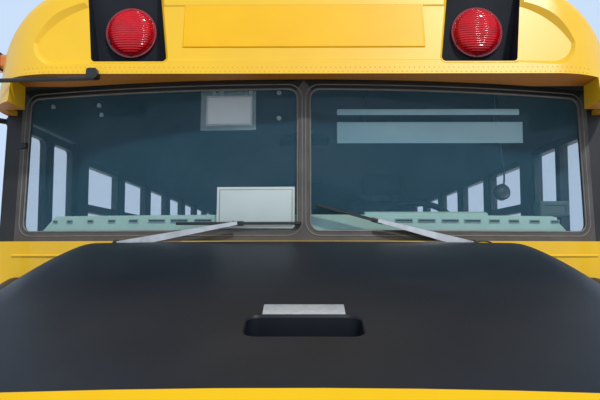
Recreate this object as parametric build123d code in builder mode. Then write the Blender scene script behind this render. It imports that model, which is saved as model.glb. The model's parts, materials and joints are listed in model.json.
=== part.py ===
"""School bus of the conventional kind: a long saloon body behind a tilting bonnet.

Millimetres. +Z is up, -Y is the front, +X is the driver's side. The origin is on the ground
at the middle of the bus's overall length and width.
"""
from build123d import *
from math import atan2, cos, degrees, radians, sin, sqrt, tan
import os

os.makedirs("parts", exist_ok=True)

# Overall sizes
overall_length = 10900
body_width = 2440
floor_top = 980
skirt_bottom = 560
eave_height = 2380
shoulder_radius = 480
wall_thickness = 45
roof_thickness = 40

# Stations along the bus, measured from the front bumper's face
cowl_station = 1495
wall_front_station = 1705
door_front_station = 1790
door_width = 670
front_axle_station = 1000
wheelbase = 6450
rear_wall_inset = 190

# Windscreen
screen_radius = 3800
screen_rake = 4.5
screen_bottom = 1868.5
screen_top = 2422.6
screen_half_width = 1125
screen_glass = 7
seal_depth = 36
seal_frame = 33
divider_width = 40

# Side windows
window_pitch = 711
window_width = 610
window_sill = 1700
window_head = 2290
window_corner = 50
sash_width = 28
sash_depth = 40
sash_proud = 6
fit_clearance = 0.5
pane_thickness = 6

# Wheels
tyre_radius = 520
tyre_width = 280
rim_radius = 286
track = 2060
dual_spacing = 330
rear_dual_centre = 890
kingpin_half_track = 920
arch_radius = 590
rear_arch_radius = 600

# Ladder frame
rail_centre = 430
rail_width = 75
rail_depth = 240
rail_top = 840
rail_thickness = 8

# Bonnet
nose_station = 220
nose_top = 1552
nose_lean = 6
bonnet_skin = 14
fender_half_width = 1200
nose_bottom = 780
fender_bottom = 620
bonnet_gap = 35

# Derived places
front_face = -overall_length / 2
rear_face = overall_length / 2
half_width = body_width / 2
inner_half = half_width - wall_thickness
cowl_y = front_face + cowl_station
screen_y = cowl_y + 25
wall_front = front_face + wall_front_station
door_front = front_face + door_front_station
door_rear = door_front + door_width
first_window = door_rear + 465
front_axle_y = front_face + front_axle_station
rear_axle_y = front_axle_y + wheelbase
rear_wall_y = rear_face - rear_wall_inset
roof_front = wall_front + 40
nose_y = front_face + nose_station
shoulder_centre = half_width - shoulder_radius
crown_radius = shoulder_centre / cos(radians(60)) + shoulder_radius
crown_centre = eave_height - (crown_radius - shoulder_radius) * sin(radians(60))
roof_top = crown_centre + crown_radius
window_count = 1 + int((rear_wall_y - first_window - window_width / 2 - 60) / window_pitch)
sides = {"left": 1, "right": -1}
rake_direction = (0, sin(radians(screen_rake)), cos(radians(screen_rake)))


def save(piece, name):
    """Writes one finished piece to its own file."""
    piece.label = name
    export_step(piece, f"parts/{name}.step")


def station(y):
    """Plane across the bus at y: local x is X, local y is Z, and extrusion runs forward."""
    return Plane.XZ.offset(-y)


def plan_drop(x, radius=screen_radius):
    """How far the curved front falls back at x from its middle."""
    return radius - sqrt(radius**2 - x**2)


def body_arch(inset, base, mode=Mode.ADD):
    """Cross-section of the saloon from base up to the crown, inset from the outer skin."""
    edge = half_width - inset
    corner = shoulder_radius - inset
    with BuildLine() as outline:
        CenterArc((shoulder_centre, eave_height), corner, 0, 60)
        CenterArc((0, crown_centre), crown_radius - inset, 60, 60)
        CenterArc((-shoulder_centre, eave_height), corner, 120, 60)
        Polyline((-edge, eave_height), (-edge, base), (edge, base), (edge, eave_height))
    make_face(outline.edges(), mode=mode)


def arc_band(centre_y, x_from, x_to, outside, inside):
    """Plan strip that follows the curved front, from outside to inside of its line."""
    with BuildLine() as outline:
        front = [(x, centre_y + plan_drop(x) - outside) for x in (x_from, (x_from + x_to) / 2, x_to)]
        back = [(x, centre_y + plan_drop(x) + inside) for x in (x_from, (x_from + x_to) / 2, x_to)]
        ThreePointArc(*front)
        ThreePointArc(*back)
        Line(front[0], back[0])
        Line(front[2], back[2])
    make_face(outline.edges())


# Ladder frame: two channel rails with their bumper brackets, then the crossmembers between them
rail_front = nose_y + 65
rail_rear = rear_wall_y - 5
rail_inner = rail_centre + rail_width / 2 - rail_thickness
rail_outer = rail_centre + rail_width / 2
crossmember_depth = 80
crossmember_bottom = rail_top - rail_thickness - crossmember_depth
behind_axle = rear_axle_y + 860
crossmember_stations = (
    nose_y + 120, front_axle_y + wheelbase / 3, front_axle_y + 0.58 * wheelbase, front_axle_y + 0.83 * wheelbase,
    behind_axle, (behind_axle + rail_rear - 105) / 2, rail_rear - 105,
)
bracket_thickness = 14
tow_eye_radius = 22
front_eye = (front_face + 125, 440)
rear_eye = (rear_wall_y - 25, 455)
bonnet_hinge = (nose_y + 5, nose_bottom)
bonnet_pin = 12
running_play = 0.08
with BuildPart() as chassis_frame:
    with BuildSketch(station(rail_rear)):
        for side in (1, -1):
            with Locations((side * rail_centre, rail_top - rail_depth / 2)):
                Rectangle(rail_width, rail_depth)
            with Locations((side * (rail_centre - rail_thickness), rail_top - rail_depth / 2)):
                Rectangle(rail_width, rail_depth - 2 * rail_thickness, mode=Mode.SUBTRACT)
    extrude(amount=rail_rear - rail_front)
    for side in (1, -1):
        with BuildSketch(Plane.YZ.offset(side * rail_outer)):
            with BuildLine():
                Polyline(
                    (front_face + 80, 680), (bonnet_hinge[0] - 20, 680), (rail_front + 40, 735),
                    (rail_front + 150, 735), (rail_front + 150, 620), (front_face + 240, 520),
                    (front_face + 80, 440), close=True,
                )
            make_face()
            with Locations(front_eye):
                Circle(45)
            with Locations(bonnet_hinge):
                Circle(24)
            with Locations((bonnet_hinge[0], 725)):
                Rectangle(40, 110)
            with Locations(bonnet_hinge):
                Circle(bonnet_pin + running_play, mode=Mode.SUBTRACT)
            with BuildLine():
                Polyline(
                    (rear_wall_y - 260, 820), (rear_wall_y - 60, 705), (rear_face - 8, 705),
                    (rear_face - 8, 560), (rear_wall_y + 20, 560), (rear_eye[0] + 45, rear_eye[1]),
                    (rear_eye[0] - 45, rear_eye[1]), (rear_wall_y - 260, 640), close=True,
                )
            make_face()
            with Locations(rear_eye):
                Circle(45)
            with Locations(front_eye, rear_eye):
                Circle(tow_eye_radius, mode=Mode.SUBTRACT)
        extrude(amount=side * bracket_thickness)
save(chassis_frame.part, "chassis_frame")

with BuildPart() as crossmembers:
    with BuildSketch(Plane.YZ.offset(-rail_inner)):
        for y in crossmember_stations:
            with Locations((y, crossmember_bottom + crossmember_depth / 2)):
                Rectangle(90, crossmember_depth)
            with Locations((y + 8, crossmember_bottom + crossmember_depth / 2)):
                Rectangle(90, crossmember_depth - 16, mode=Mode.SUBTRACT)
    extrude(amount=2 * rail_inner)
save(crossmembers.part, "crossmembers")

# Front bumper: a pressed channel with swept ends
bumper_half = half_width - 30
bumper_return = 130
with BuildPart() as front_bumper:
    with BuildSketch(Plane.XY.offset(480)):
        with BuildLine():
            Polyline(
                (-bumper_half, front_face + bumper_return), (-bumper_half, front_face + 90),
                (-bumper_half + 120, front_face), (bumper_half - 120, front_face),
                (bumper_half, front_face + 90), (bumper_half, front_face + bumper_return),
                (bumper_half - 8, front_face + bumper_return), (bumper_half - 8, front_face + 94),
                (bumper_half - 123, front_face + 8), (-bumper_half + 123, front_face + 8),
                (-bumper_half + 8, front_face + 94), (-bumper_half + 8, front_face + bumper_return),
                close=True,
            )
        make_face()
    extrude(amount=260)
    for z in (480, 732):
        with BuildSketch(Plane.XY.offset(z)):
            with BuildLine():
                Polyline(
                    (-bumper_half + 4, front_face + 92), (-bumper_half + 122, front_face + 4),
                    (bumper_half - 122, front_face + 4), (bumper_half - 4, front_face + 92),
                    (bumper_half - 150, front_face + 80), (-bumper_half + 150, front_face + 80),
                    close=True,
                )
            make_face()
        extrude(amount=8)
save(front_bumper.part, "front_bumper")

# Rear bumper: a deep channel under the rear wall
with BuildPart() as rear_bumper:
    with BuildSketch(Plane.YZ.offset(-bumper_half)):
        with Locations((rear_face - 68, 620)):
            Rectangle(136, 230)
        with Locations((rear_face - 80, 620)):
            Rectangle(144, 214, mode=Mode.SUBTRACT)
    extrude(amount=2 * bumper_half)
    fillet(rear_bumper.edges().filter_by(Axis.Z).group_by(Axis.Y)[-1], 5)
save(rear_bumper.part, "rear_bumper")

# Front axle: a dropped I-beam with its kingpin eyes
beam_top = 500
kingpin_radius = 24
stub_radius = 38
with BuildPart() as front_axle:
    with BuildSketch(Plane.YZ.offset(-kingpin_half_track + 55)):
        with Locations((front_axle_y, beam_top - 55)):
            Rectangle(90, 110)
            with Locations((36, 0), (-36, 0)):
                Rectangle(42, 66, mode=Mode.SUBTRACT)
    extrude(amount=2 * kingpin_half_track - 110)
    with BuildSketch(Plane.XY.offset(beam_top - 90)):
        for side in (1, -1):
            with Locations((side * kingpin_half_track, front_axle_y)):
                Circle(46)
            with Locations((side * (kingpin_half_track - 50), front_axle_y)):
                Rectangle(60, 84)
    extrude(amount=90)
    with Locations(*[(s * kingpin_half_track, front_axle_y, beam_top) for s in (1, -1)]):
        Hole(kingpin_radius + running_play)
save(front_axle.part, "front_axle")

# Knuckles: kingpin, yoke, stub axle, brake drum back plate and steering arm
yoke_gap = 6
arm_reach = 150
stud_radius = 9
arm_bottom = beam_top - 146
arm_top = beam_top - 120
rod_z = arm_top + 30
for side_name, side in sides.items():
    pin_x = side * kingpin_half_track
    with BuildPart() as knuckle:
        with BuildSketch(Plane.XY.offset(beam_top - 150)):
            with Locations((pin_x, front_axle_y)):
                Circle(kingpin_radius)
        extrude(amount=210)
        for z in (beam_top - 150, beam_top + yoke_gap):
            with BuildSketch(Plane.XY.offset(z)):
                with Locations((pin_x, front_axle_y)):
                    Circle(44)
                with Locations((pin_x + side * 31, front_axle_y)):
                    Rectangle(62, 88)
            extrude(amount=54)
        with BuildSketch(Plane.YZ.offset(pin_x + side * 50)):
            with Locations((front_axle_y, beam_top - 45)):
                Rectangle(110, 210)
        extrude(amount=side * 18)
        with BuildSketch(Plane.YZ.offset(pin_x + side * 60)):
            with Locations((front_axle_y, tyre_radius)):
                Circle(stub_radius)
        extrude(amount=side * 125)
        with BuildSketch(Plane.XY.offset(arm_bottom)):
            with Locations((pin_x, front_axle_y + arm_reach / 2 + 10)):
                Rectangle(40, arm_reach - 20)
            with Locations((pin_x, front_axle_y + arm_reach)):
                Circle(24)
        extrude(amount=arm_top - arm_bottom)
        with BuildSketch(Plane.XY.offset(arm_bottom + 10)):
            with Locations((pin_x, front_axle_y + arm_reach)):
                Circle(stud_radius)
        extrude(amount=rod_z + 22 - arm_bottom - 10)
    save(knuckle.part, f"{side_name}_knuckle")

# Tie rod: a tube with an eye over the stud of each steering arm
with BuildPart() as tie_rod:
    with BuildSketch(Plane.YZ.offset(-kingpin_half_track)):
        with Locations((front_axle_y + arm_reach, rod_z)):
            Circle(17)
    extrude(amount=2 * kingpin_half_track)
    with BuildSketch(Plane.XY.offset(rod_z - 24)):
        with Locations(*[(s * kingpin_half_track, front_axle_y + arm_reach) for s in (1, -1)]):
            Circle(24)
    extrude(amount=48)
    with BuildSketch(Plane.XY.offset(rod_z - 40)):
        with Locations(*[(s * kingpin_half_track, front_axle_y + arm_reach) for s in (1, -1)]):
            Circle(stud_radius + running_play)
    extrude(amount=80, mode=Mode.SUBTRACT)
save(tie_rod.part, "tie_rod")

# Rear axle: tube, round differential housing, spring seats and the two spindles
spring_x = rail_outer + 37
spindle_radius = 45
spindle_end = rear_dual_centre + 70
with BuildPart() as rear_axle:
    with BuildSketch(Plane.YZ.offset(-680)):
        with Locations((rear_axle_y, tyre_radius)):
            Circle(62)
    extrude(amount=1360)
    with BuildSketch(Plane.YZ.offset(-spindle_end)):
        with Locations((rear_axle_y, tyre_radius)):
            Circle(spindle_radius)
    extrude(amount=2 * spindle_end)
    with BuildSketch(Plane.YZ.offset(-175)):
        with Locations((rear_axle_y, tyre_radius)):
            Circle(215)
    extrude(amount=350)
    fillet(rear_axle.edges().filter_by(GeomType.CIRCLE).filter_by(lambda e: e.radius > 200), 60)
    with BuildSketch(station(rear_axle_y - 150)):
        with Locations((0, tyre_radius)):
            Circle(95)
    extrude(amount=160)
    for side in (1, -1):
        with BuildSketch(Plane.YZ.offset(side * spring_x)):
            with Locations((rear_axle_y, tyre_radius + 62)):
                Rectangle(130, 60)
        extrude(amount=30, both=True)
save(rear_axle.part, "rear_axle")

# Leaf springs: arched packs with shorter leaves beneath, at each end of both axles
leaf_count = 4
leaf_thickness = 16
spring_table = (
    # axle station, seat height on the axle, half length, height of the eyes
    (front_axle_y, beam_top + 0.3, 520, 590),
    (rear_axle_y, tyre_radius + 92.3, 640, 690),
)
with BuildPart() as leaf_springs:
    for axle_y, seat_z, half_length, eye_z in spring_table:
        for side in (1, -1):
            with BuildSketch(Plane.YZ.offset(side * spring_x - 32)):
                for leaf in range(leaf_count):
                    reach = half_length * (1 - 0.2 * (leaf_count - 1 - leaf))
                    rise = (eye_z - seat_z - leaf_count * leaf_thickness) * (reach / half_length) ** 2
                    low = seat_z + leaf * leaf_thickness
                    with BuildLine():
                        ThreePointArc((axle_y - reach, low + rise), (axle_y, low), (axle_y + reach, low + rise))
                        ThreePointArc(
                            (axle_y - reach, low + rise + leaf_thickness), (axle_y, low + leaf_thickness),
                            (axle_y + reach, low + rise + leaf_thickness),
                        )
                        Line((axle_y - reach, low + rise), (axle_y - reach, low + rise + leaf_thickness))
                        Line((axle_y + reach, low + rise), (axle_y + reach, low + rise + leaf_thickness))
                    make_face()
            extrude(amount=64)
            for end in (1, -1):
                with BuildSketch(Plane.YZ.offset(side * spring_x - 37)):
                    with Locations((axle_y + end * half_length, eye_z + 8)):
                        Circle(34)
                    with Locations((axle_y + end * half_length, eye_z + 60)):
                        Rectangle(46, 120)
                extrude(amount=74)
save(leaf_springs.part, "leaf_springs")

# Engine and gearbox as one plain block each, with the fan and radiator ahead of them
engine_front = nose_y + 330
engine_rear = cowl_y - 60
with BuildPart() as engine:
    with BuildSketch(Plane.XY.offset(655)):
        with Locations((0, (engine_front + engine_rear) / 2)):
            Rectangle(640, engine_rear - engine_front)
    extrude(amount=700)
    chamfer(engine.edges().filter_by(Axis.Y).group_by(Axis.Z)[-1], 140)
    with BuildSketch(Plane.XY.offset(690)):
        with Locations((0, engine_front + 180), (0, engine_rear - 180)):
            Rectangle(2 * rail_inner, 120)
    extrude(amount=70)
save(engine.part, "engine")

with BuildPart() as radiator:
    with BuildSketch(station(nose_y + 200)):
        with Locations((0, 1120)):
            Rectangle(820, 520)
    extrude(amount=70)
    with BuildSketch(station(nose_y + 206)):
        for z in (1405, 873):
            with Locations((0, z)):
                Rectangle(800, 62)
        with Locations((-250, 850), (250, 850)):
            Rectangle(60, 2 * (850 - rail_top + rail_thickness))
    extrude(amount=82)
save(radiator.part, "radiator")

gearbox_rear = engine_rear + 865
with BuildPart() as driveline:
    with BuildSketch(station(gearbox_rear)):
        with Locations((0, 700)):
            Circle(150)
    extrude(amount=gearbox_rear - engine_rear, taper=-4)
    with BuildSketch(station(gearbox_rear + 160)):
        with Locations((0, 690)):
            Circle(70)
    extrude(amount=200)
    shaft_start = Vector(0, gearbox_rear + 120, 690)
    shaft_end = Vector(0, rear_axle_y - 312, tyre_radius)
    shaft_line = Plane(origin=shaft_start, z_dir=shaft_end - shaft_start)
    with BuildSketch(shaft_line):
        Circle(52)
    extrude(amount=(shaft_end - shaft_start).length - 3)
save(driveline.part, "driveline")

# Exhaust: a pipe from the engine bay to the silencer, then over the axle to the tail
exhaust_x = -300
with BuildPart() as exhaust:
    with BuildLine() as exhaust_route:
        FilletPolyline(
            (exhaust_x, engine_rear + 40, 560), (exhaust_x, rear_axle_y - 750, 560),
            (exhaust_x, rear_axle_y - 400, 760), (exhaust_x, rear_axle_y + 400, 760),
            (exhaust_x, rear_axle_y + 800, 600),
            (exhaust_x, rear_face - 210, 600), radius=120,
        )
    with BuildSketch(Plane(exhaust_route.line @ 0, z_dir=exhaust_route.line % 0)):
        Circle(42)
    sweep(path=exhaust_route.line)
    with BuildSketch(station(rear_axle_y - 1400)):
        with Locations((exhaust_x, 535)):
            Ellipse(120, 85)
    extrude(amount=1100)
    fillet(exhaust.edges().filter_by(GeomType.ELLIPSE), 20)
    for y in (crossmember_stations[2], crossmember_stations[3], crossmember_stations[5]):
        with BuildSketch(Plane.XY.offset(575)):
            with Locations((exhaust_x, y)):
                Rectangle(24, 40)
        extrude(amount=crossmember_bottom - 575)
save(exhaust.part, "exhaust")

# Fuel tank in its straps between the rails and the right-hand skirt
tank_y = front_axle_y + 2950
with BuildPart() as fuel_tank:
    with BuildSketch(station(tank_y + 700)):
        with Locations((-810, 670)):
            RectangleRounded(560, 380, 70)
    extrude(amount=1400)
    for y in (-450, 450):
        with BuildSketch(station(tank_y + y + 25)):
            with Locations((-810, 670)):
                RectangleRounded(572, 392, 76)
            with Locations((-rail_outer - 40, 740)):
                Rectangle(80, 90)
        extrude(amount=50)
save(fuel_tank.part, "fuel_tank")

# Floor: deck with the rear wheel boxes, toe board and the entry step well
deck_thickness = 40
toe_board_y = wall_front - 45
wheel_box_top = rear_arch_radius + tyre_radius + 10
well_inner = -650
well_front = door_front - 12
well_rear = door_rear + 12
tread_heights = (430, 705)
tread_depth = 250
plate = 25
sill_x = 430
sill_width = 60
with BuildPart() as floor:
    with BuildSketch(Plane.XY.offset(rail_top)):
        for side in (1, -1):
            with Locations((side * sill_x, (wall_front + rear_wall_y) / 2)):
                Rectangle(sill_width, rear_wall_y - wall_front)
    extrude(amount=floor_top - deck_thickness - rail_top)
    with BuildSketch(Plane.XY.offset(floor_top - deck_thickness)):
        with Locations((0, (toe_board_y + rear_wall_y) / 2)):
            Rectangle(2 * inner_half, rear_wall_y - toe_board_y)
        with Locations(((-inner_half + well_inner) / 2, (well_front + well_rear) / 2)):
            Rectangle(inner_half + well_inner, well_rear - well_front, mode=Mode.SUBTRACT)
        for side in (1, -1):
            with Locations((side * (inner_half + 560) / 2, rear_axle_y)):
                Rectangle(inner_half - 560, 2 * rear_arch_radius, mode=Mode.SUBTRACT)
    extrude(amount=deck_thickness)
    for side in (1, -1):
        with BuildSketch(Plane.YZ.offset(side * 548 - 12)):
            with BuildLine():
                Line((rear_axle_y - rear_arch_radius - 6, floor_top - deck_thickness),
                     (rear_axle_y + rear_arch_radius + 6, floor_top - deck_thickness))
                Line((rear_axle_y - rear_arch_radius - 6, floor_top - deck_thickness),
                     (rear_axle_y - rear_arch_radius - 6, wheel_box_top - 90))
                Line((rear_axle_y + rear_arch_radius + 6, floor_top - deck_thickness),
                     (rear_axle_y + rear_arch_radius + 6, wheel_box_top - 90))
                ThreePointArc(
                    (rear_axle_y - rear_arch_radius - 6, wheel_box_top - 90),
                    (rear_axle_y, wheel_box_top + 20),
                    (rear_axle_y + rear_arch_radius + 6, wheel_box_top - 90),
                )
            make_face()
        extrude(amount=24)
        with BuildSketch(Plane.YZ.offset(side * 560)):
            with BuildLine():
                ThreePointArc(
                    (rear_axle_y - rear_arch_radius - 6, wheel_box_top - 90),
                    (rear_axle_y, wheel_box_top + 20),
                    (rear_axle_y + rear_arch_radius + 6, wheel_box_top - 90),
                )
                ThreePointArc(
                    (rear_axle_y - rear_arch_radius - 6, wheel_box_top - 104),
                    (rear_axle_y, wheel_box_top + 6),
                    (rear_axle_y + rear_arch_radius + 6, wheel_box_top - 104),
                )
                for end in (1, -1):
                    Line((rear_axle_y + end * (rear_arch_radius + 6), wheel_box_top - 90),
                         (rear_axle_y + end * (rear_arch_radius + 6), wheel_box_top - 104))
            make_face()
        extrude(amount=side * (inner_half - 560))
        for end in (1, -1):
            with BuildSketch(Plane.YZ.offset(side * 560)):
                with Locations((rear_axle_y + end * (rear_arch_radius + 2), (floor_top + wheel_box_top - 130) / 2)):
                    Rectangle(8, wheel_box_top - 90 - floor_top + deck_thickness)
            extrude(amount=side * (inner_half - 560))
    with BuildSketch(station(toe_board_y + 25)):
        with Locations((0, (floor_top - deck_thickness + 1058) / 2)):
            Rectangle(2 * inner_half, 1058 - floor_top + deck_thickness)
    extrude(amount=25)
    for number, tread in enumerate(tread_heights):
        tread_x = -inner_half + 1 + number * tread_depth
        with BuildSketch(Plane.XY.offset(tread - plate)):
            with Locations((tread_x + tread_depth / 2 + 12, (well_front + well_rear) / 2)):
                Rectangle(tread_depth + 25, well_rear - well_front)
        extrude(amount=plate)
        riser_top = (tread_heights + (floor_top,))[number + 1]
        with BuildSketch(Plane.XY.offset(tread - plate)):
            with Locations((tread_x + tread_depth + 12, (well_front + well_rear) / 2)):
                Rectangle(plate, well_rear - well_front)
        extrude(amount=riser_top - tread + plate)
    for y in (well_front, well_rear - 10):
        with BuildSketch(Plane.XZ.offset(-y - 10)):
            with BuildLine():
                Polyline(
                    (-inner_half + 1, tread_heights[0] - plate),
                    (-inner_half + 1 + tread_depth + plate, tread_heights[0] - plate),
                    (well_inner, tread_heights[1] - plate), (well_inner, floor_top),
                    (-inner_half + 1, floor_top),
                    close=True,
                )
            make_face()
        extrude(amount=10)
save(floor.part, "floor")

# Side walls: window openings, rear wheel arches and the entry doorway
rake_shift = (eave_height - 1835) * tan(radians(screen_rake))
post_inner = screen_half_width + seal_frame + 2
door_top = 2355
driver_window = (door_front + 20, door_rear - 10)
window_centres = [first_window + window_pitch * number for number in range(window_count)]
for side_name, side in sides.items():
    with BuildPart() as wall:
        with BuildSketch(Plane.YZ.offset(side * inner_half)):
            with BuildLine():
                Polyline(
                    (wall_front, skirt_bottom), (wall_front, 1835), (wall_front + rake_shift, eave_height),
                    (rear_wall_y, eave_height), (rear_wall_y, skirt_bottom),
                    close=True,
                )
            make_face()
            with Locations(*[(y, (window_sill + window_head) / 2) for y in window_centres]):
                RectangleRounded(window_width, window_head - window_sill, window_corner, mode=Mode.SUBTRACT)
            with Locations((rear_axle_y, tyre_radius)):
                Circle(rear_arch_radius, mode=Mode.SUBTRACT)
            if side > 0:
                with Locations((sum(driver_window) / 2, (window_sill + window_head + 20) / 2)):
                    RectangleRounded(
                        driver_window[1] - driver_window[0], window_head + 20 - window_sill, window_corner,
                        mode=Mode.SUBTRACT,
                    )
            else:
                with Locations(((door_front + door_rear) / 2, door_top / 2)):
                    Rectangle(door_width, door_top, mode=Mode.SUBTRACT)
        extrude(amount=side * wall_thickness)
        with BuildSketch(Plane.YZ.offset(side * post_inner)):
            with BuildLine():
                Polyline(
                    (wall_front, 1835), (wall_front + rake_shift, eave_height),
                    (wall_front + rake_shift + 40, eave_height), (wall_front + 40, 1835),
                    close=True,
                )
            make_face()
        extrude(amount=side * (inner_half - post_inner + 1))
    save(wall.part, f"{side_name}_wall")

# Roof skin with the escape hatch's collar
hatch_y = rear_axle_y - 1300
hatch_opening = 560
hatch_collar = 30
collar_top = roof_top + 27
with BuildPart() as roof:
    with BuildSketch(station(rear_wall_y)):
        body_arch(0, eave_height - 60)
        body_arch(roof_thickness, eave_height - 120, Mode.SUBTRACT)
        with Locations((0, eave_height - 100)):
            Rectangle(body_width + 20, 200, mode=Mode.SUBTRACT)
    extrude(amount=rear_wall_y - roof_front)
    with BuildSketch(Plane.XY.offset(collar_top - 85)):
        with Locations((0, hatch_y)):
            RectangleRounded(hatch_opening + 2 * hatch_collar, hatch_opening + 2 * hatch_collar, 50)
    extrude(amount=85)
    with BuildSketch(Plane.XY.offset(collar_top - 200)):
        with Locations((0, hatch_y)):
            RectangleRounded(hatch_opening, hatch_opening, 30)
    extrude(amount=220, mode=Mode.SUBTRACT)
save(roof.part, "roof")

# Front cap: the swept visor above the windscreen with its two lamp pockets
cap_front = screen_y - 80
cap_bottom = 2430
cap_lean = 13
cap_corner = 300
cap_edge = 90
cap_back = roof_front - 115
pocket_floor = screen_y + 57
header_top = 2457
lip_bottom = 2444
pocket_x = 648
pocket_bottom = 2497
pocket_width = 280
pocket_height = 350
pocket_splay = 49
pocket_chamfer = 12
panel_sunk = 4
recess_outer = 1000
recess_depth = 12
recess_turn = 2.84
recess_low = 74
recess_high = 300
lean_direction = (0, sin(radians(cap_lean)), cos(radians(cap_lean)))
cap_face = Plane(
    origin=(0, cap_front, cap_bottom), x_dir=(1, 0, 0), z_dir=(0, -cos(radians(cap_lean)), sin(radians(cap_lean))),
)


def pocket_outline(side, scale, zero):
    """Corners of a lamp pocket: level along the bottom, splayed outward as it rises."""
    low = (pocket_bottom - zero) / scale
    high = (pocket_bottom + pocket_height - zero) / scale
    inner = pocket_x - pocket_width / 2
    outer = pocket_x + pocket_width / 2
    return (
        (side * inner, low), (side * outer, low), (side * (outer + pocket_splay), high),
        (side * (inner + pocket_splay), high),
    )


with BuildPart() as front_cap:
    with BuildSketch(Plane.XY.offset(cap_bottom)):
        with BuildLine():
            Polyline(
                (-half_width, roof_front + 305), (half_width, roof_front + 305), (half_width, cap_front + cap_corner),
            )
            ThreePointArc(
                (half_width, cap_front + cap_corner),
                (half_width - cap_corner * (1 - sqrt(0.5)), cap_front + cap_corner * (1 - sqrt(0.5))),
                (half_width - cap_corner, cap_front),
            )
            Line((half_width - cap_corner, cap_front), (-half_width + cap_corner, cap_front))
            ThreePointArc(
                (-half_width + cap_corner, cap_front),
                (-half_width + cap_corner * (1 - sqrt(0.5)), cap_front + cap_corner * (1 - sqrt(0.5))),
                (-half_width, cap_front + cap_corner),
            )
            Line((-half_width, cap_front + cap_corner), (-half_width, roof_front + 305))
        make_face()
    extrude(amount=800, dir=lean_direction)
    extrude(faces().sort_by(Axis.Z)[0], amount=80, dir=(0, -lean_direction[1], -lean_direction[2]))
    with BuildSketch(station(roof_front)):
        body_arch(0, eave_height - 60)
    extrude(amount=500, mode=Mode.INTERSECT)
    rim = front_cap.edges().filter_by(lambda e: e.center().Z > cap_bottom + 20 and e.center().Y < roof_front - 10)
    fillet(rim, cap_edge)
    with BuildSketch(station(roof_front + 10)):
        body_arch(roof_thickness, eave_height - 80)
    extrude(amount=roof_front + 10 - cap_back, mode=Mode.SUBTRACT)
    with BuildSketch(Plane.XY.offset(eave_height - 90)):
        with Locations((0, screen_y + 130)):
            Rectangle(2 * post_inner - 120, 900)
    extrude(amount=lip_bottom - eave_height + 90, mode=Mode.SUBTRACT)
    with BuildSketch(Plane.XY.offset(cap_bottom - 60)):
        arc_band(screen_y, -1300, 1300, 3, 600)
    extrude(amount=header_top - cap_bottom + 60, dir=rake_direction, mode=Mode.SUBTRACT)
    with BuildSketch(cap_face.offset(-panel_sunk)):
        with Locations((0, (recess_low + recess_high) / 2)):
            Rectangle(2 * pocket_x, recess_high - recess_low)
    extrude(amount=40, taper=-55, mode=Mode.SUBTRACT)
    for side in (1, -1):
        turn = radians(side * recess_turn)
        recess_plane = Plane(
            origin=cap_face.origin, x_dir=cap_face.x_dir * cos(turn) - cap_face.z_dir * sin(turn),
            z_dir=cap_face.x_dir * sin(turn) + cap_face.z_dir * cos(turn),
        )
        recess_floor = (pocket_x + pocket_width / 2) * sin(radians(recess_turn)) - recess_depth
        with BuildSketch(recess_plane.offset(recess_floor)):
            with BuildLine():
                Polyline(
                    (side * pocket_x, recess_high), (side * pocket_x, recess_low),
                    (side * (recess_outer - 85), recess_low),
                )
                ThreePointArc(
                    (side * (recess_outer - 85), recess_low), (side * (recess_outer - 24), recess_low + 24),
                    (side * recess_outer, recess_low + 78),
                )
                ThreePointArc(
                    (side * recess_outer, recess_low + 78), (side * (recess_outer - 80), recess_low + 178),
                    (side * pocket_x, recess_high),
                )
            make_face()
        extrude(amount=60, taper=-50, mode=Mode.SUBTRACT)
    for side in (1, -1):
        with BuildSketch(station(pocket_floor)):
            with BuildLine():
                FilletPolyline(*pocket_outline(side, 1, 0), radius=16, close=True)
            make_face()
        extrude(amount=200, mode=Mode.SUBTRACT)
        with BuildSketch(cap_face.offset(-pocket_chamfer)):
            with BuildLine():
                FilletPolyline(*pocket_outline(side, cos(radians(cap_lean)), cap_bottom), radius=16, close=True)
            make_face()
        extrude(amount=60, taper=-45, mode=Mode.SUBTRACT)
save(front_cap.part, "front_cap")

# Windscreen: two curved panes in one rubber frame with a centre divider
screen_height = screen_top - screen_bottom
seal_bottom = 1835
seal_top = 2455
seal_half = screen_half_width + seal_frame
pane_half = (screen_half_width - divider_width / 2) / 2
with BuildPart() as windscreen_seal:
    with BuildSketch(Plane.XY.offset(seal_bottom)):
        arc_band(screen_y, -seal_half, seal_half, 0, seal_depth)
    extrude(amount=(seal_top - seal_bottom) / cos(radians(screen_rake)), dir=rake_direction)
    with BuildSketch(station(screen_y + 430)):
        for side in (1, -1):
            with Locations((side * (divider_width / 2 + pane_half), (screen_bottom + screen_top) / 2)):
                RectangleRounded(2 * pane_half, screen_height, 40)
    extrude(amount=600, mode=Mode.SUBTRACT)
save(windscreen_seal.part, "windscreen_seal")

with BuildPart() as windscreen:
    with BuildSketch(Plane.XY.offset(seal_bottom)):
        arc_band(screen_y, -seal_half, seal_half, -10, 10 + screen_glass)
    extrude(amount=(seal_top - seal_bottom) / cos(radians(screen_rake)), dir=rake_direction)
    with BuildSketch(station(screen_y + 430)):
        for side in (1, -1):
            with Locations((side * (divider_width / 2 + pane_half), (screen_bottom + screen_top) / 2)):
                RectangleRounded(2 * pane_half - 2 * fit_clearance, screen_height - 2 * fit_clearance, 39.5)
    extrude(amount=600, mode=Mode.INTERSECT)
save(windscreen.part, "windscreen")

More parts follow.
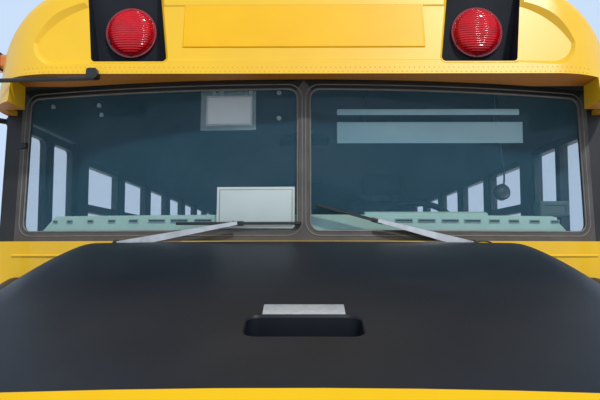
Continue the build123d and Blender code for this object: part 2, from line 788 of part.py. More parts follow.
# Cowl: the curved panel under the windscreen with its drip ledge and footwell floor
cowl_bottom = 1060
with BuildPart() as cowl:
    with BuildSketch(Plane.XY.offset(cowl_bottom)):
        arc_band(cowl_y, -half_width, half_width, 0, 60)
    extrude(amount=seal_bottom - cowl_bottom)
    with BuildSketch(Plane.XY.offset(1058)):
        arc_band(cowl_y, -inner_half, inner_half, -30, 500)
        with Locations((0, toe_board_y + 500)):
            Rectangle(3000, 1000, mode=Mode.SUBTRACT)
    extrude(amount=14)
    with BuildSketch(Plane.XY.offset(cowl_bottom - 40)):
        for side in (1, -1):
            with Locations((side * (inner_half + 99), wall_front + 500)):
                Rectangle(200, 1000)
    extrude(amount=900, mode=Mode.SUBTRACT)
    with BuildSketch(Plane.XY.offset(1765)):
        arc_band(cowl_y, -1300, 1300, 100, -14)
    extrude(amount=20, mode=Mode.SUBTRACT)
save(cowl.part, "cowl")

# Rear wall: emergency doorway and two fixed lights
rear_opening_half = 352
rear_opening_bottom = 985
rear_opening_top = 2330
rear_light_x = 745
rear_light_width = 520
rear_light_bottom = 1700
with BuildPart() as rear_wall:
    with BuildSketch(station(rear_wall_y + wall_thickness)):
        body_arch(0, skirt_bottom)
    extrude(amount=wall_thickness)
    outer_rim = rear_wall.faces().sort_by(Axis.Y)[-1].edges().filter_by(lambda e: e.center().Z > skirt_bottom + 5)
    fillet(outer_rim, 32)
    with BuildSketch(station(rear_wall_y + 100)):
        with Locations((0, (rear_opening_bottom + rear_opening_top) / 2)):
            Rectangle(2 * rear_opening_half, rear_opening_top - rear_opening_bottom)
        with Locations(*[(s * rear_light_x, (rear_light_bottom + window_head) / 2) for s in (1, -1)]):
            RectangleRounded(rear_light_width, window_head - rear_light_bottom, window_corner)
        with Locations(*[(s * (rail_outer + bracket_thickness / 2), 630) for s in (1, -1)]):
            Rectangle(bracket_thickness + 12, 162)
    extrude(amount=200, mode=Mode.SUBTRACT)
save(rear_wall.part, "rear_wall")

# Sliding window sashes and their panes, in every side opening and the rear lights
mid_rail_z = 2030
mid_rail = 44
driver_centre = sum(driver_window) / 2
driver_width = driver_window[1] - driver_window[0]
sash_outer = half_width + sash_proud
with BuildPart() as window_sashes:
    for side in (1, -1):
        with BuildSketch(Plane.YZ.offset(side * (sash_outer - sash_depth))):
            with Locations(*[(y, (window_sill + window_head) / 2) for y in window_centres]):
                RectangleRounded(
                    window_width - 2 * fit_clearance, window_head - window_sill - 2 * fit_clearance,
                    window_corner - fit_clearance,
                )
            for y in window_centres:
                with Locations((y, (window_sill + sash_width + mid_rail_z - mid_rail / 2) / 2)):
                    Rectangle(
                        window_width - 2 * sash_width, mid_rail_z - mid_rail / 2 - window_sill - sash_width,
                        mode=Mode.SUBTRACT,
                    )
                with Locations((y, (window_head - sash_width + mid_rail_z + mid_rail / 2) / 2)):
                    Rectangle(
                        window_width - 2 * sash_width, window_head - sash_width - mid_rail_z - mid_rail / 2,
                        mode=Mode.SUBTRACT,
                    )
        extrude(amount=side * sash_depth)
    with BuildSketch(Plane.YZ.offset(sash_outer - sash_depth)):
        with Locations((driver_centre, (window_sill + window_head + 20) / 2)):
            RectangleRounded(
                driver_width - 2 * fit_clearance, window_head + 20 - window_sill - 2 * fit_clearance,
                window_corner - fit_clearance,
            )
        for end in (1, -1):
            with Locations((driver_centre + end * (driver_width / 4 + 1), (window_sill + window_head + 20) / 2)):
                Rectangle(
                    driver_width / 2 - sash_width - 20, window_head + 20 - window_sill - 2 * sash_width,
                    mode=Mode.SUBTRACT,
                )
    extrude(amount=sash_depth)
    with BuildSketch(station(rear_wall_y + wall_thickness + sash_proud)):
        for side in (1, -1):
            with Locations((side * rear_light_x, (rear_light_bottom + window_head) / 2)):
                RectangleRounded(
                    rear_light_width - 2 * fit_clearance, window_head - rear_light_bottom - 2 * fit_clearance,
                    window_corner - fit_clearance,
                )
                Rectangle(
                    rear_light_width - 2 * sash_width, window_head - rear_light_bottom - 2 * sash_width,
                    mode=Mode.SUBTRACT,
                )
    extrude(amount=sash_depth)
save(window_sashes.part, "window_sashes")

with BuildPart() as window_glass:
    for side in (1, -1):
        for low, high, depth in (
            (window_sill + sash_width, mid_rail_z - mid_rail / 2, 26),
            (mid_rail_z + mid_rail / 2, window_head - sash_width, 14),
        ):
            with BuildSketch(Plane.YZ.offset(side * (sash_outer - depth))):
                with Locations(*[(y, (low + high) / 2) for y in window_centres]):
                    Rectangle(window_width - 2 * sash_width - 1, high - low - 1)
            extrude(amount=side * pane_thickness)
    with BuildSketch(Plane.YZ.offset(sash_outer - 20)):
        for end in (1, -1):
            with Locations((driver_centre + end * (driver_width / 4 + 1), (window_sill + window_head + 20) / 2)):
                Rectangle(driver_width / 2 - sash_width - 21, window_head + 19 - window_sill - 2 * sash_width)
    extrude(amount=pane_thickness)
    with BuildSketch(station(rear_wall_y + wall_thickness - 10)):
        with Locations(*[(s * rear_light_x, (rear_light_bottom + window_head) / 2) for s in (1, -1)]):
            Rectangle(rear_light_width - 2 * sash_width - 1, window_head - rear_light_bottom - 2 * sash_width - 1)
    extrude(amount=pane_thickness)
save(window_glass.part, "window_glass")

# Tyres: one at each front corner, a pair at each rear corner
bead_width = 220
tread_width = 226
bead_radius = rim_radius + 0.3


def tyre_section(centre_x, centre_y):
    """Half section of one tyre, drawn above its axle for a turn about the axle."""
    half_bead = bead_width / 2
    half_tyre = tyre_width / 2
    half_tread = tread_width / 2
    low = tyre_radius + bead_radius
    high = 2 * tyre_radius
    with BuildLine() as outline:
        for end in (1, -1):
            ThreePointArc(
                (centre_x + end * half_bead, low),
                (centre_x + end * half_tyre, low + 0.48 * (high - low)),
                (centre_x + end * (half_tread + 8), high - 26),
            )
            RadiusArc(
                (centre_x + end * (half_tread + 8), high - 26), (centre_x + end * (half_tread - 16), high),
                -26 * end,
            )
        Line((centre_x - half_tread + 16, high), (centre_x + half_tread - 16, high))
        Line((centre_x - half_bead, low), (centre_x + half_bead, low))
    make_face(outline.edges())


front_wheel_x = track / 2
for side_name, side in sides.items():
    with BuildPart() as front_tyre:
        with BuildSketch(station(front_axle_y)):
            tyre_section(side * front_wheel_x, front_axle_y)
        revolve(axis=Axis((0, front_axle_y, tyre_radius), (1, 0, 0)))
    save(front_tyre.part, f"front_{side_name}_tyre")
    with BuildPart() as rear_tyres:
        with BuildSketch(station(rear_axle_y)):
            for end in (1, -1):
                tyre_section(side * rear_dual_centre + end * dual_spacing / 2, rear_axle_y)
        revolve(axis=Axis((0, rear_axle_y, tyre_radius), (1, 0, 0)))
    save(rear_tyres.part, f"rear_{side_name}_tyres")

# Wheels: dished discs with hand holes, their hubs and brake drums
rim_half = 128
rim_flange = 14
drum_radius = 212
hub_radius = 96
hand_holes = 8
stud_count = 8


def wheel_profile(side, centre_x, points):
    """Half section of one wheel, from offsets outboard of centre_x and heights above the axle."""
    with BuildLine() as outline:
        Polyline(*[(centre_x + side * across, tyre_radius + up) for across, up in points], close=True)
    make_face(outline.edges())


barrel = (
    (-rim_half, rim_radius - 16), (-rim_half, rim_radius + rim_flange), (-rim_half + 8, rim_radius + rim_flange),
    (-rim_half + 8, rim_radius), (rim_half - 8, rim_radius), (rim_half - 8, rim_radius + rim_flange),
    (rim_half, rim_radius + rim_flange), (rim_half, rim_radius - 16),
)
for side_name, side in sides.items():
    axle_bore = stub_radius + running_play
    stub_end = kingpin_half_track + 185 - front_wheel_x
    with BuildPart() as front_wheel:
        with BuildSketch(station(front_axle_y)):
            wheel_profile(side, front_wheel_x * side, barrel)
            wheel_profile(side, front_wheel_x * side, (
                (-36, axle_bore), (-36, hub_radius), (-8, hub_radius), (-8, drum_radius - 16),
                (-54, drum_radius - 16), (-54, drum_radius), (8, drum_radius), (20, drum_radius + 30),
                (30, rim_radius - 12), (46, rim_radius - 12), (38, drum_radius + 24), (44, hub_radius + 40),
                (64, hub_radius + 14), (64, hub_radius), (96, hub_radius - 16), (104, 0),
                (stub_end + 4, 0), (stub_end + 4, axle_bore),
            ))
        revolve(axis=Axis((0, front_axle_y, tyre_radius), (1, 0, 0)))
        with BuildSketch(Plane.YZ.offset(side * front_wheel_x)):
            with Locations((front_axle_y, tyre_radius)):
                with PolarLocations(drum_radius + 26, hand_holes):
                    Circle(22)
        extrude(amount=side * 100, mode=Mode.SUBTRACT)
        with BuildSketch(Plane.YZ.offset(side * (front_wheel_x + 50))):
            with Locations((front_axle_y, tyre_radius)):
                with PolarLocations(hub_radius + 26, stud_count):
                    RegularPolygon(17, 6)
        extrude(amount=side * 26)
    save(front_wheel.part, f"front_{side_name}_wheel")
    inner_barrel = [(across - dual_spacing / 2, up) for across, up in barrel]
    outer_barrel = [(across + dual_spacing / 2, up) for across, up in barrel]
    spindle_bore = spindle_radius + running_play
    spindle_reach = spindle_end - rear_dual_centre
    with BuildPart() as rear_wheels:
        with BuildSketch(station(rear_axle_y)):
            wheel_profile(side, rear_dual_centre * side, inner_barrel)
            wheel_profile(side, rear_dual_centre * side, outer_barrel)
            wheel_profile(side, rear_dual_centre * side, (
                (-150, spindle_bore), (-150, drum_radius), (-24, drum_radius), (-44, rim_radius - 12),
                (44, rim_radius - 12), (24, drum_radius + 14), (12, hub_radius + 50), (12, hub_radius + 8),
                (spindle_reach + 30, hub_radius - 4), (spindle_reach + 44, hub_radius - 30),
                (spindle_reach + 44, 0), (spindle_reach + 6, 0), (spindle_reach + 6, spindle_bore),
            ))
        revolve(axis=Axis((0, rear_axle_y, tyre_radius), (1, 0, 0)))
        with BuildSketch(Plane.YZ.offset(side * rear_dual_centre)):
            with Locations((rear_axle_y, tyre_radius)):
                with PolarLocations(drum_radius + 24, hand_holes):
                    Circle(20)
        extrude(amount=side * 100, mode=Mode.SUBTRACT)
        with BuildSketch(Plane.YZ.offset(side * (rear_dual_centre + 4))):
            with Locations((rear_axle_y, tyre_radius)):
                with PolarLocations(hub_radius + 34, stud_count):
                    RegularPolygon(17, 6)
        extrude(amount=side * 34)
    save(rear_wheels.part, f"rear_{side_name}_wheels")

# Bonnet: a tilting moulding of the sloping bonnet and both fenders in one shell
bonnet_stations = (
    # station, half width, height of the top, shoulder radius
    (nose_y - 105, 784, 1526, 115),
    (nose_y + 590, 900, 1712, 200),
    (cowl_y + 155, 1012, 1838, 240),
)
bonnet_crown = 14
fender_front = nose_y - 105
fender_rear = cowl_y + 195
fender_inner = 700
fender_front_bottom = 765
fender_edge = 100
nose_normal = (0, -cos(radians(nose_lean)), sin(radians(nose_lean)))


def bonnet_form(inset, nose_low, fender_low):
    """Bonnet and fenders as one solid, drawn in by inset on every outer side."""
    nose = Plane(origin=(0, nose_y + inset, nose_top), x_dir=(1, 0, 0), z_dir=nose_normal)
    with BuildPart() as bonnet:
        for y, half, top, shoulder in bonnet_stations:
            edge = half - inset
            corner = shoulder - inset
            high = top - inset
            bend = corner * (1 - sqrt(0.5))
            with BuildSketch(station(y)):
                with BuildLine():
                    Polyline((-edge, high - corner), (-edge, nose_low), (edge, nose_low), (edge, high - corner))
                    ThreePointArc((edge, high - corner), (edge - bend, high - bend), (edge - corner, high))
                    ThreePointArc((edge - corner, high), (0, high + bonnet_crown), (-edge + corner, high))
                    ThreePointArc((-edge + corner, high), (-edge + bend, high - bend), (-edge, high - corner))
                make_face()
        loft()
        split(bisect_by=nose, keep=Keep.BOTTOM)
    forms = [bonnet.part]
    for side in (1, -1):
        with BuildPart() as fender:
            with BuildSketch(Plane.YZ.offset(side * (fender_inner + inset))):
                with BuildLine():
                    Spline(
                        (fender_front, 1090 - inset), (nose_y + 30, 1320 - inset), (nose_y + 330, 1450 - inset),
                        (nose_y + 930, 1600 - inset), (fender_rear, 1712 - inset),
                    )
                    Polyline(
                        (fender_rear, 1712 - inset), (fender_rear, fender_low), (front_axle_y, fender_low),
                        (front_axle_y, nose_low - 15), (fender_front, nose_low - 15), (fender_front, 1090 - inset),
                    )
                make_face()
            extrude(amount=side * (fender_half_width - fender_inner - 2 * inset))
            split(bisect_by=nose, keep=Keep.BOTTOM)
            soft = fender.edges().filter_by(
                lambda e: e.center().Z > nose_low + 20 and abs(e.center().X) > fender_inner + inset + 5
                and e.center().Y < fender_rear - 10
            )
            fillet(soft, fender_edge - inset)
        forms.append(fender.part)
    with BuildPart() as whole:
        add(forms)
    return whole.part


grille_half_low = 480
grille_half_high = 430
grille_low = 850
grille_high = 1400
lamp_x = 790
lamp_z = 1060
lamp_width = 330
lamp_height = 200
lip_width = 35
lip_proud = 10
hold_y = nose_y + 260
hold_width = 242
hold_depth = 110
hold_floor = 1588
hold_slope = 14.6
hold_height = 1647
bonnet_outside = bonnet_form(0, nose_bottom, fender_bottom)
bonnet_inside = bonnet_form(bonnet_skin, nose_bottom - 200, fender_bottom - 100)
hold_rim = Plane(
    origin=(0, hold_y, hold_height), x_dir=(1, 0, 0),
    z_dir=(0, -sin(radians(hold_slope)), cos(radians(hold_slope))),
)
with BuildPart() as bonnet_hollow:
    add(bonnet_inside)
    with BuildSketch(Plane.XY.offset(hold_floor - 12)):
        with Locations((0, hold_y)):
            RectangleRounded(hold_width + 28, hold_depth + 28, 34)
    extrude(amount=120, mode=Mode.SUBTRACT)
with BuildPart() as hood:
    add(bonnet_outside)
    add(bonnet_hollow.part, mode=Mode.SUBTRACT)
    for side in (1, -1):
        with BuildSketch(Plane.YZ.offset(side * (fender_half_width - bonnet_skin))):
            with Locations((front_axle_y, tyre_radius)):
                Circle(arch_radius + lip_width)
            with Locations((front_axle_y, fender_bottom - 500)):
                Rectangle(2000, 1000, mode=Mode.SUBTRACT)
            with Locations((front_axle_y - 500, fender_front_bottom - 500)):
                Rectangle(1000, 1000, mode=Mode.SUBTRACT)
        extrude(amount=side * (bonnet_skin + lip_proud))
    with BuildSketch(Plane.YZ.offset(-fender_half_width - 50)):
        with Locations((front_axle_y, tyre_radius)):
            Circle(arch_radius)
    extrude(amount=2 * fender_half_width + 100, mode=Mode.SUBTRACT)
    with BuildSketch(Plane.XY.offset(hold_floor)):
        with Locations((0, hold_y)):
            RectangleRounded(hold_width, hold_depth, 26)
    extrude(amount=120, mode=Mode.SUBTRACT)
    with BuildSketch(hold_rim.offset(-5)):
        RectangleRounded(hold_width - 3, hold_depth / cos(radians(hold_slope)) - 3, 24)
    extrude(amount=30, taper=-45, mode=Mode.SUBTRACT)
    with BuildSketch(Plane.XY.offset(400)):
        arc_band(cowl_y, -1300, 1300, bonnet_gap, 900)
    extrude(amount=1600, mode=Mode.SUBTRACT)
    with BuildSketch(station(nose_y + 230)):
        with BuildLine():
            Polyline(
                (-grille_half_low, grille_low), (grille_half_low, grille_low), (grille_half_high, grille_high),
                (-grille_half_high, grille_high), close=True,
            )
        make_face()
        for side in (1, -1):
            with Locations((side * lamp_x, lamp_z)):
                RectangleRounded(lamp_width, lamp_height, 24)
    extrude(amount=400, mode=Mode.SUBTRACT)
    hinge_side = rail_outer + bracket_thickness
    for side in (1, -1):
        with BuildSketch(Plane.YZ.offset(side * (rail_outer - 6))):
            with Locations(bonnet_hinge):
                Circle(bonnet_pin)
        extrude(amount=side * (bracket_thickness + 26))
        with BuildSketch(Plane.YZ.offset(side * (hinge_side + 6))):
            with Locations(bonnet_hinge):
                Circle(20)
            with BuildLine():
                Polyline(
                    (bonnet_hinge[0] - 12, bonnet_hinge[1] - 16), (bonnet_hinge[0] + 12, bonnet_hinge[1] + 16),
                    (nose_y - 64, nose_bottom + 70), (nose_y - 68, nose_bottom + 20), close=True,
                )
            make_face()
        extrude(amount=side * 14)
save(hood.part, "hood")

# Grille: a louvred panel in the nose opening
nose_plane = Plane(origin=(0, nose_y, nose_top), x_dir=(1, 0, 0), z_dir=nose_normal)
grille_columns = 4
grille_rows = 7
with BuildPart() as grille:
    with BuildSketch(station(nose_y + 230)):
        with BuildLine():
            Polyline(
                (-grille_half_low + fit_clearance, grille_low + fit_clearance),
                (grille_half_low - fit_clearance, grille_low + fit_clearance),
                (grille_half_high - fit_clearance, grille_high - fit_clearance),
                (-grille_half_high + fit_clearance, grille_high - fit_clearance), close=True,
            )
        make_face()
        with Locations((0, (grille_low + grille_high) / 2)):
            with GridLocations(200, 72, grille_columns, grille_rows):
                Rectangle(182, 52, mode=Mode.SUBTRACT)
    extrude(amount=400)
    split(bisect_by=nose_plane.offset(5), keep=Keep.BOTTOM)
    split(bisect_by=nose_plane.offset(-24), keep=Keep.TOP)
save(grille.part, "grille")

# Headlamps: a housing with one round lamp in each fender
lamp_radius = 89
with BuildPart() as headlamps:
    with BuildSketch(station(nose_y + 230)):
        for side in (1, -1):
            with Locations((side * lamp_x, lamp_z)):
                RectangleRounded(lamp_width - 2 * fit_clearance, lamp_height - 2 * fit_clearance, 23.5)
    extrude(amount=400)
    split(bisect_by=nose_plane.offset(2), keep=Keep.BOTTOM)
    split(bisect_by=nose_plane.offset(-32), keep=Keep.TOP)
    with BuildSketch(nose_plane.offset(-2)):
        for side in (1, -1):
            with Locations((side * (lamp_x - 60), (lamp_z - nose_top) / cos(radians(nose_lean)))):
                Circle(lamp_radius)
    extrude(amount=20, taper=30)
save(headlamps.part, "headlamps")

# Entry door: two glazed leaves that fold outward on the jambs
leaf_depth = 30
leaf_outer = half_width + 2
leaf_bottom = 445
leaf_top = door_top - 10
leaf_meeting = 4.5
jamb_clearance = 5
hinge_offset = 4
hinge_tube = 4.7
leaf_stile = 42
leaf_rail_z = 1120
leaf_middle = (door_front + door_rear) / 2
leaf_spans = {
    "front": (door_front + jamb_clearance, leaf_middle - leaf_meeting, door_front + 3),
    "rear": (leaf_middle + leaf_meeting, door_rear - jamb_clearance, door_rear - 3),
}
leaf_panes = ((leaf_bottom + 110, leaf_rail_z - 35), (leaf_rail_z + 35, leaf_top - 38))
for leaf_name, (leaf_from, leaf_to, hinge_y) in leaf_spans.items():
    with BuildPart() as door_leaf:
        with BuildSketch(Plane.YZ.offset(-leaf_outer)):
            with Locations(((leaf_from + leaf_to) / 2, (leaf_bottom + leaf_top) / 2)):
                Rectangle(leaf_to - leaf_from, leaf_top - leaf_bottom)
            for low, high in leaf_panes:
                with Locations(((leaf_from + leaf_to) / 2, (low + high) / 2)):
                    RectangleRounded(leaf_to - leaf_from - 2 * leaf_stile, high - low, 24, mode=Mode.SUBTRACT)
        extrude(amount=leaf_depth)
        with BuildSketch(Plane.XY.offset(leaf_bottom)):
            with Locations((-half_width - hinge_offset, hinge_y)):
                Circle(hinge_tube)
        extrude(amount=leaf_top - leaf_bottom)
    save(door_leaf.part, f"entry_door_{leaf_name}_leaf")
    with BuildPart() as door_pane:
        with BuildSketch(Plane.YZ.offset(-leaf_outer + 12)):
            for low, high in leaf_panes:
                with Locations(((leaf_from + leaf_to) / 2, (low + high) / 2)):
                    RectangleRounded(
                        leaf_to - leaf_from - 2 * leaf_stile - 2 * fit_clearance, high - low - 2 * fit_clearance, 23.5,
                    )
        extrude(amount=pane_thickness)
    save(door_pane.part, f"entry_door_{leaf_name}_glass")

# Rear emergency door: a slab with two lights, strap hinges and a lever handle
rear_door_half = rear_opening_half - 7
rear_door_outer = rear_wall_y + wall_thickness - 3
rear_door_bottom = rear_opening_bottom + 5
rear_door_top = rear_opening_top - 5
rear_hinge = (-rear_opening_half, rear_wall_y + wall_thickness + 7)
rear_lights = ((1130, 1430), (1650, 2255))
with BuildPart() as rear_door:
    with BuildSketch(station(rear_door_outer)):
        with Locations((0, (rear_door_bottom + rear_door_top) / 2)):
            Rectangle(2 * rear_door_half, rear_door_top - rear_door_bottom)
        for low, high in rear_lights:
            with Locations((0, (low + high) / 2)):
                RectangleRounded(500, high - low, 50, mode=Mode.SUBTRACT)
    extrude(amount=40)
    for z in (1070, 1560, 2230):
        with BuildSketch(Plane.XY.offset(z)):
            with Locations(rear_hinge):
                Circle(6.7)
            with Locations((rear_hinge[0] + 33, rear_door_outer + 2.5)):
                Rectangle(54, 5)
            with Locations((rear_hinge[0] + 8, rear_door_outer + 7)):
                Rectangle(16, 6)
        extrude(amount=60)
    with BuildSketch(station(rear_door_outer + 50)):
        with Locations((250, 1540)):
            SlotOverall(190, 26)
    extrude(amount=14)
    with BuildSketch(station(rear_door_outer + 50)):
        with Locations((300, 1540)):
            Circle(18)
    extrude(amount=50)
save(rear_door.part, "rear_door")

with BuildPart() as rear_door_glass:
    with BuildSketch(station(rear_door_outer - 14)):
        for low, high in rear_lights:
            with Locations((0, (low + high) / 2)):
                RectangleRounded(500 - 2 * fit_clearance, high - low - 2 * fit_clearance, 49.5)
    extrude(amount=pane_thickness)
save(rear_door_glass.part, "rear_door_glass")

# Stop arm: an octagonal blade hinged on a bracket on the driver's side
stop_hinge = (half_width + 28, door_rear + 85)
stop_z = 1485
stop_size = 450
stop_start = 32
bracket_half = 105
with BuildPart() as stop_arm_bracket:
    with BuildSketch(Plane.YZ.offset(half_width)):
        with Locations((stop_hinge[1], stop_z)):
            RectangleRounded(80, 2 * bracket_half, 8)
    extrude(amount=12)
    for z in (stop_z - bracket_half, stop_z + bracket_half - 20):
        with BuildSketch(Plane.XY.offset(z)):
            with Locations((half_width + 12 + 14, stop_hinge[1])):
                Rectangle(32, 36)
        extrude(amount=20)
    with BuildSketch(Plane.XY.offset(stop_z - 200)):
        with Locations(stop_hinge):
            Circle(6 + running_play)
    extrude(amount=400, mode=Mode.SUBTRACT)
save(stop_arm_bracket.part, "stop_arm_bracket")

with BuildPart() as stop_arm:
    with BuildSketch(Plane.XY.offset(stop_z - bracket_half - 2)):
        with Locations(stop_hinge):
            Circle(6)
    extrude(amount=2 * bracket_half + 4)
    with BuildSketch(Plane.XY.offset(stop_z - bracket_half + 26)):
        with Locations(stop_hinge):
            Circle(9)
        with Locations((stop_hinge[0], stop_hinge[1] + 25)):
            Rectangle(8, 50)
    extrude(amount=2 * bracket_half - 52)
    with BuildSketch(Plane.YZ.offset(stop_hinge[0] - 4)):
        with Locations((stop_hinge[1] + stop_start + stop_size / 2, stop_z)):
            RegularPolygon(stop_size / 2, 8, major_radius=False, rotation=22.5)
    extrude(amount=8)
save(stop_arm.part, "stop_arm")

# Roof hatch: a shallow lid hinged behind the collar
lid_clearance = 5
lid_half = hatch_opening / 2 + hatch_collar
hatch_hinge = (hatch_y + lid_half + 8, collar_top - 6)
with BuildPart() as roof_hatch:
    with BuildSketch(Plane.XY.offset(collar_top + lid_clearance)):
        with Locations((0, hatch_y)):
            RectangleRounded(2 * lid_half + 28, 2 * lid_half + 28, 55)
    extrude(amount=18)
    fillet(roof_hatch.edges().group_by(Axis.Z)[-1], 12)
    with BuildSketch(Plane.XY.offset(collar_top - 20)):
        with Locations((0, hatch_y)):
            RectangleRounded(2 * lid_half + 28, 2 * lid_half + 28, 55)
            RectangleRounded(2 * lid_half + 14, 2 * lid_half + 14, 53, mode=Mode.SUBTRACT)
        with Locations((0, hatch_y + lid_half)):
            Rectangle(2 * lid_half + 40, 140, mode=Mode.SUBTRACT)
    extrude(amount=20 + lid_clearance)
    with BuildSketch(Plane.YZ.offset(-200)):
        with Locations(hatch_hinge):
            Circle(7.7)
        with Locations((hatch_hinge[0] + 1, collar_top)):
            Rectangle(10, 12)
    extrude(amount=400)
save(roof_hatch.part, "roof_hatch")

# Dashboard: the defroster ledge under the windscreen and the driver's binnacle
ledge_top = 1935
ledge_back = wall_front + 55
ledge_half = 1050
with BuildPart() as dashboard:
    with BuildSketch(Plane.XY.offset(1640)):
        arc_band(cowl_y, -ledge_half, ledge_half, -60.3, 600)
        with Locations((0, ledge_back + 500)):
            Rectangle(3000, 1000, mode=Mode.SUBTRACT)
    extrude(amount=192)
    with BuildSketch(Plane.XY.offset(1832)):
        arc_band(screen_y, -ledge_half, ledge_half, -46, 600)
        with Locations((0, ledge_back + 500)):
            Rectangle(3000, 1000, mode=Mode.SUBTRACT)
    extrude(amount=ledge_top - 1832)
    chamfer(dashboard.edges().group_by(Axis.Z)[-1].filter_by(Axis.Y), 60)
    with BuildSketch(Plane.YZ.offset(250)):
        with BuildLine():
            Polyline(
                (ledge_back, 1600), (ledge_back, ledge_top + 15), (ledge_back + 45, ledge_top + 25),
                (ledge_back + 110, ledge_top - 40), (ledge_back + 60, 1660), close=True,
            )
        make_face()
    extrude(amount=500)
save(dashboard.part, "dashboard")

# Steering column and wheel on one slanting line
driver_x = 440
driver_y = wall_front + 785
wheel_centre = (driver_x + 60, driver_y - 290, 1855)
column_tilt = 45
column_axis = Vector(0, -sin(radians(column_tilt)), -cos(radians(column_tilt)))
column_radius = 35
shaft_radius = 14
wheel_plane = Plane(origin=wheel_centre, x_dir=(1, 0, 0), z_dir=column_axis)
with BuildPart() as steering_column:
    with BuildSketch(wheel_plane.offset(90)):
        Circle(column_radius)
    extrude(amount=900)
    with BuildSketch(wheel_plane.offset(90)):
        Circle(shaft_radius + running_play)
    extrude(amount=102, mode=Mode.SUBTRACT)
    with BuildSketch(Plane.XY.offset(900)):
        arc_band(cowl_y, -1300, 1300, 400, 60.3)
    extrude(amount=900, mode=Mode.SUBTRACT)
save(steering_column.part, "steering_column")

ring_radius = 225
with BuildPart() as steering_wheel:
    with BuildSketch(Plane(origin=wheel_centre, x_dir=(1, 0, 0), z_dir=wheel_plane.y_dir)):
        with Locations((ring_radius, 0)):
            Circle(14)
    revolve(axis=Axis(wheel_centre, column_axis))
    with BuildSketch(wheel_plane.offset(-12)):
        Circle(42)
    extrude(amount=92)
    with BuildSketch(wheel_plane.offset(-6)):
        with Locations((ring_radius / 2, 0)):
            Rectangle(ring_radius, 26)
        with Locations((-ring_radius / 2, 0)):
            Rectangle(ring_radius, 26)
        with Locations((0, -ring_radius / 2)):
            Rectangle(26, ring_radius)
    extrude(amount=12)
    with BuildSketch(wheel_plane.offset(80)):
        Circle(shaft_radius)
    extrude(amount=100)
save(steering_wheel.part, "steering_wheel")

# Seats: rows of two-place benches each side of the aisle, and the driver's chair
row_pitch = window_pitch
first_row = door_rear + 690
row_count = 1 + int((rear_wall_y - first_row - 350) / row_pitch)
seat_height = 400
bench_inner = 205
bench_outer = inner_half - 10
cushion_thickness = 100
bench_back_height = 610
tray_thickness = 20
row_stations = [first_row + row_pitch * number for number in range(row_count)]
tray_top = floor_top + seat_height
soft_seat = 0.3
with BuildPart() as bench_seats:
    for side in (1, -1):
        with BuildSketch(Plane.YZ.offset(side * bench_inner)):
            for y in row_stations:
                with Locations((y - 12, tray_top + soft_seat + cushion_thickness / 2)):
                    RectangleRounded(400, cushion_thickness, 24)
                with BuildLine():
                    Polyline(
                        (y + 200, tray_top + soft_seat), (y + 214, tray_top + bench_back_height),
                        (y + 282, tray_top + bench_back_height), (y + 278, tray_top + soft_seat), close=True,
                    )
                make_face()
        extrude(amount=side * (bench_outer - bench_inner))
save(bench_seats.part, "bench_seats")

driver_height = 410
with BuildPart() as seat_frames:
    for side in (1, -1):
        with BuildSketch(Plane.XY.offset(tray_top - tray_thickness)):
            for y in row_stations:
                with Locations((side * (bench_inner + inner_half) / 2, y + 40)):
                    Rectangle(inner_half - bench_inner - 1, 470)
        extrude(amount=tray_thickness)
        with BuildSketch(Plane.XY.offset(floor_top)):
            for y in row_stations:
                with Locations((side * (bench_inner + 55), y - 160), (side * (bench_inner + 55), y + 240)):
                    Rectangle(38, 38)
        extrude(amount=seat_height - tray_thickness)
    with BuildSketch(Plane.XY.offset(floor_top)):
        with Locations((driver_x, driver_y)):
            Rectangle(240, 260)
    extrude(amount=driver_height - 30, taper=-4)
    with BuildSketch(Plane.XY.offset(floor_top + driver_height - 30)):
        with Locations((driver_x, driver_y + 20)):
            Rectangle(400, 470)
    extrude(amount=30)
save(seat_frames.part, "seat_frames")

with BuildPart() as driver_seat:
    with BuildSketch(Plane.YZ.offset(driver_x - 240)):
        with Locations((driver_y - 30, floor_top + driver_height + soft_seat + 55)):
            RectangleRounded(440, 110, 30)
    extrude(amount=480)
    with BuildSketch(Plane.YZ.offset(driver_x - 190)):
        with BuildLine():
            Polyline(
                (driver_y + 194, floor_top + driver_height + soft_seat), (driver_y + 230, 2230),
                (driver_y + 310, 2230), (driver_y + 296, floor_top + driver_height + soft_seat), close=True,
            )
        make_face()
    extrude(amount=380)
save(driver_seat.part, "driver_seat")

# Rub rails along both sides, stopped at the arches and the doorway
rail_heights = (620, 980, 1330, 1640)
rub_height = 50
rub_depth = 12
with BuildPart() as rub_rails:
    for side in (1, -1):
        rub_front = wall_front + 45 if side > 0 else door_rear + 30
        with BuildSketch(Plane.YZ.offset(side * half_width)):
            for z in rail_heights:
                with Locations(((rub_front + rear_wall_y - 30) / 2, z)):
                    Rectangle(rear_wall_y - 30 - rub_front, rub_height)
            with Locations((rear_axle_y, tyre_radius)):
                Circle(rear_arch_radius + 25, mode=Mode.SUBTRACT)
        extrude(amount=side * rub_depth)
save(rub_rails.part, "rub_rails")

# Lamps: round warning and tail lamps in red, markers and turn lamps in amber
dome_radius = 89
warning_x = pocket_x + 20
warning_z = pocket_bottom + 142
rear_warning_z = 2614


def lamp_bodies(faces, depth):
    """Round lamps: a bezel on each plane and a shallow domed lens in front of it."""
    with BuildPart() as lamps:
        for plane in faces:
            with BuildSketch(plane):
                Circle(dome_radius + 9)
            extrude(amount=12)
            with BuildSketch(plane.offset(12)):
                Circle(dome_radius)
            extrude(amount=depth, taper=32)
    return lamps.part


def facing(x, y, z, forward=True):
    """Plane at a point on the bus that faces the front or the rear."""
    return Plane(origin=(x, y, z), x_dir=(1, 0, 0) if forward else (-1, 0, 0), z_dir=(0, -1 if forward else 1, 0))


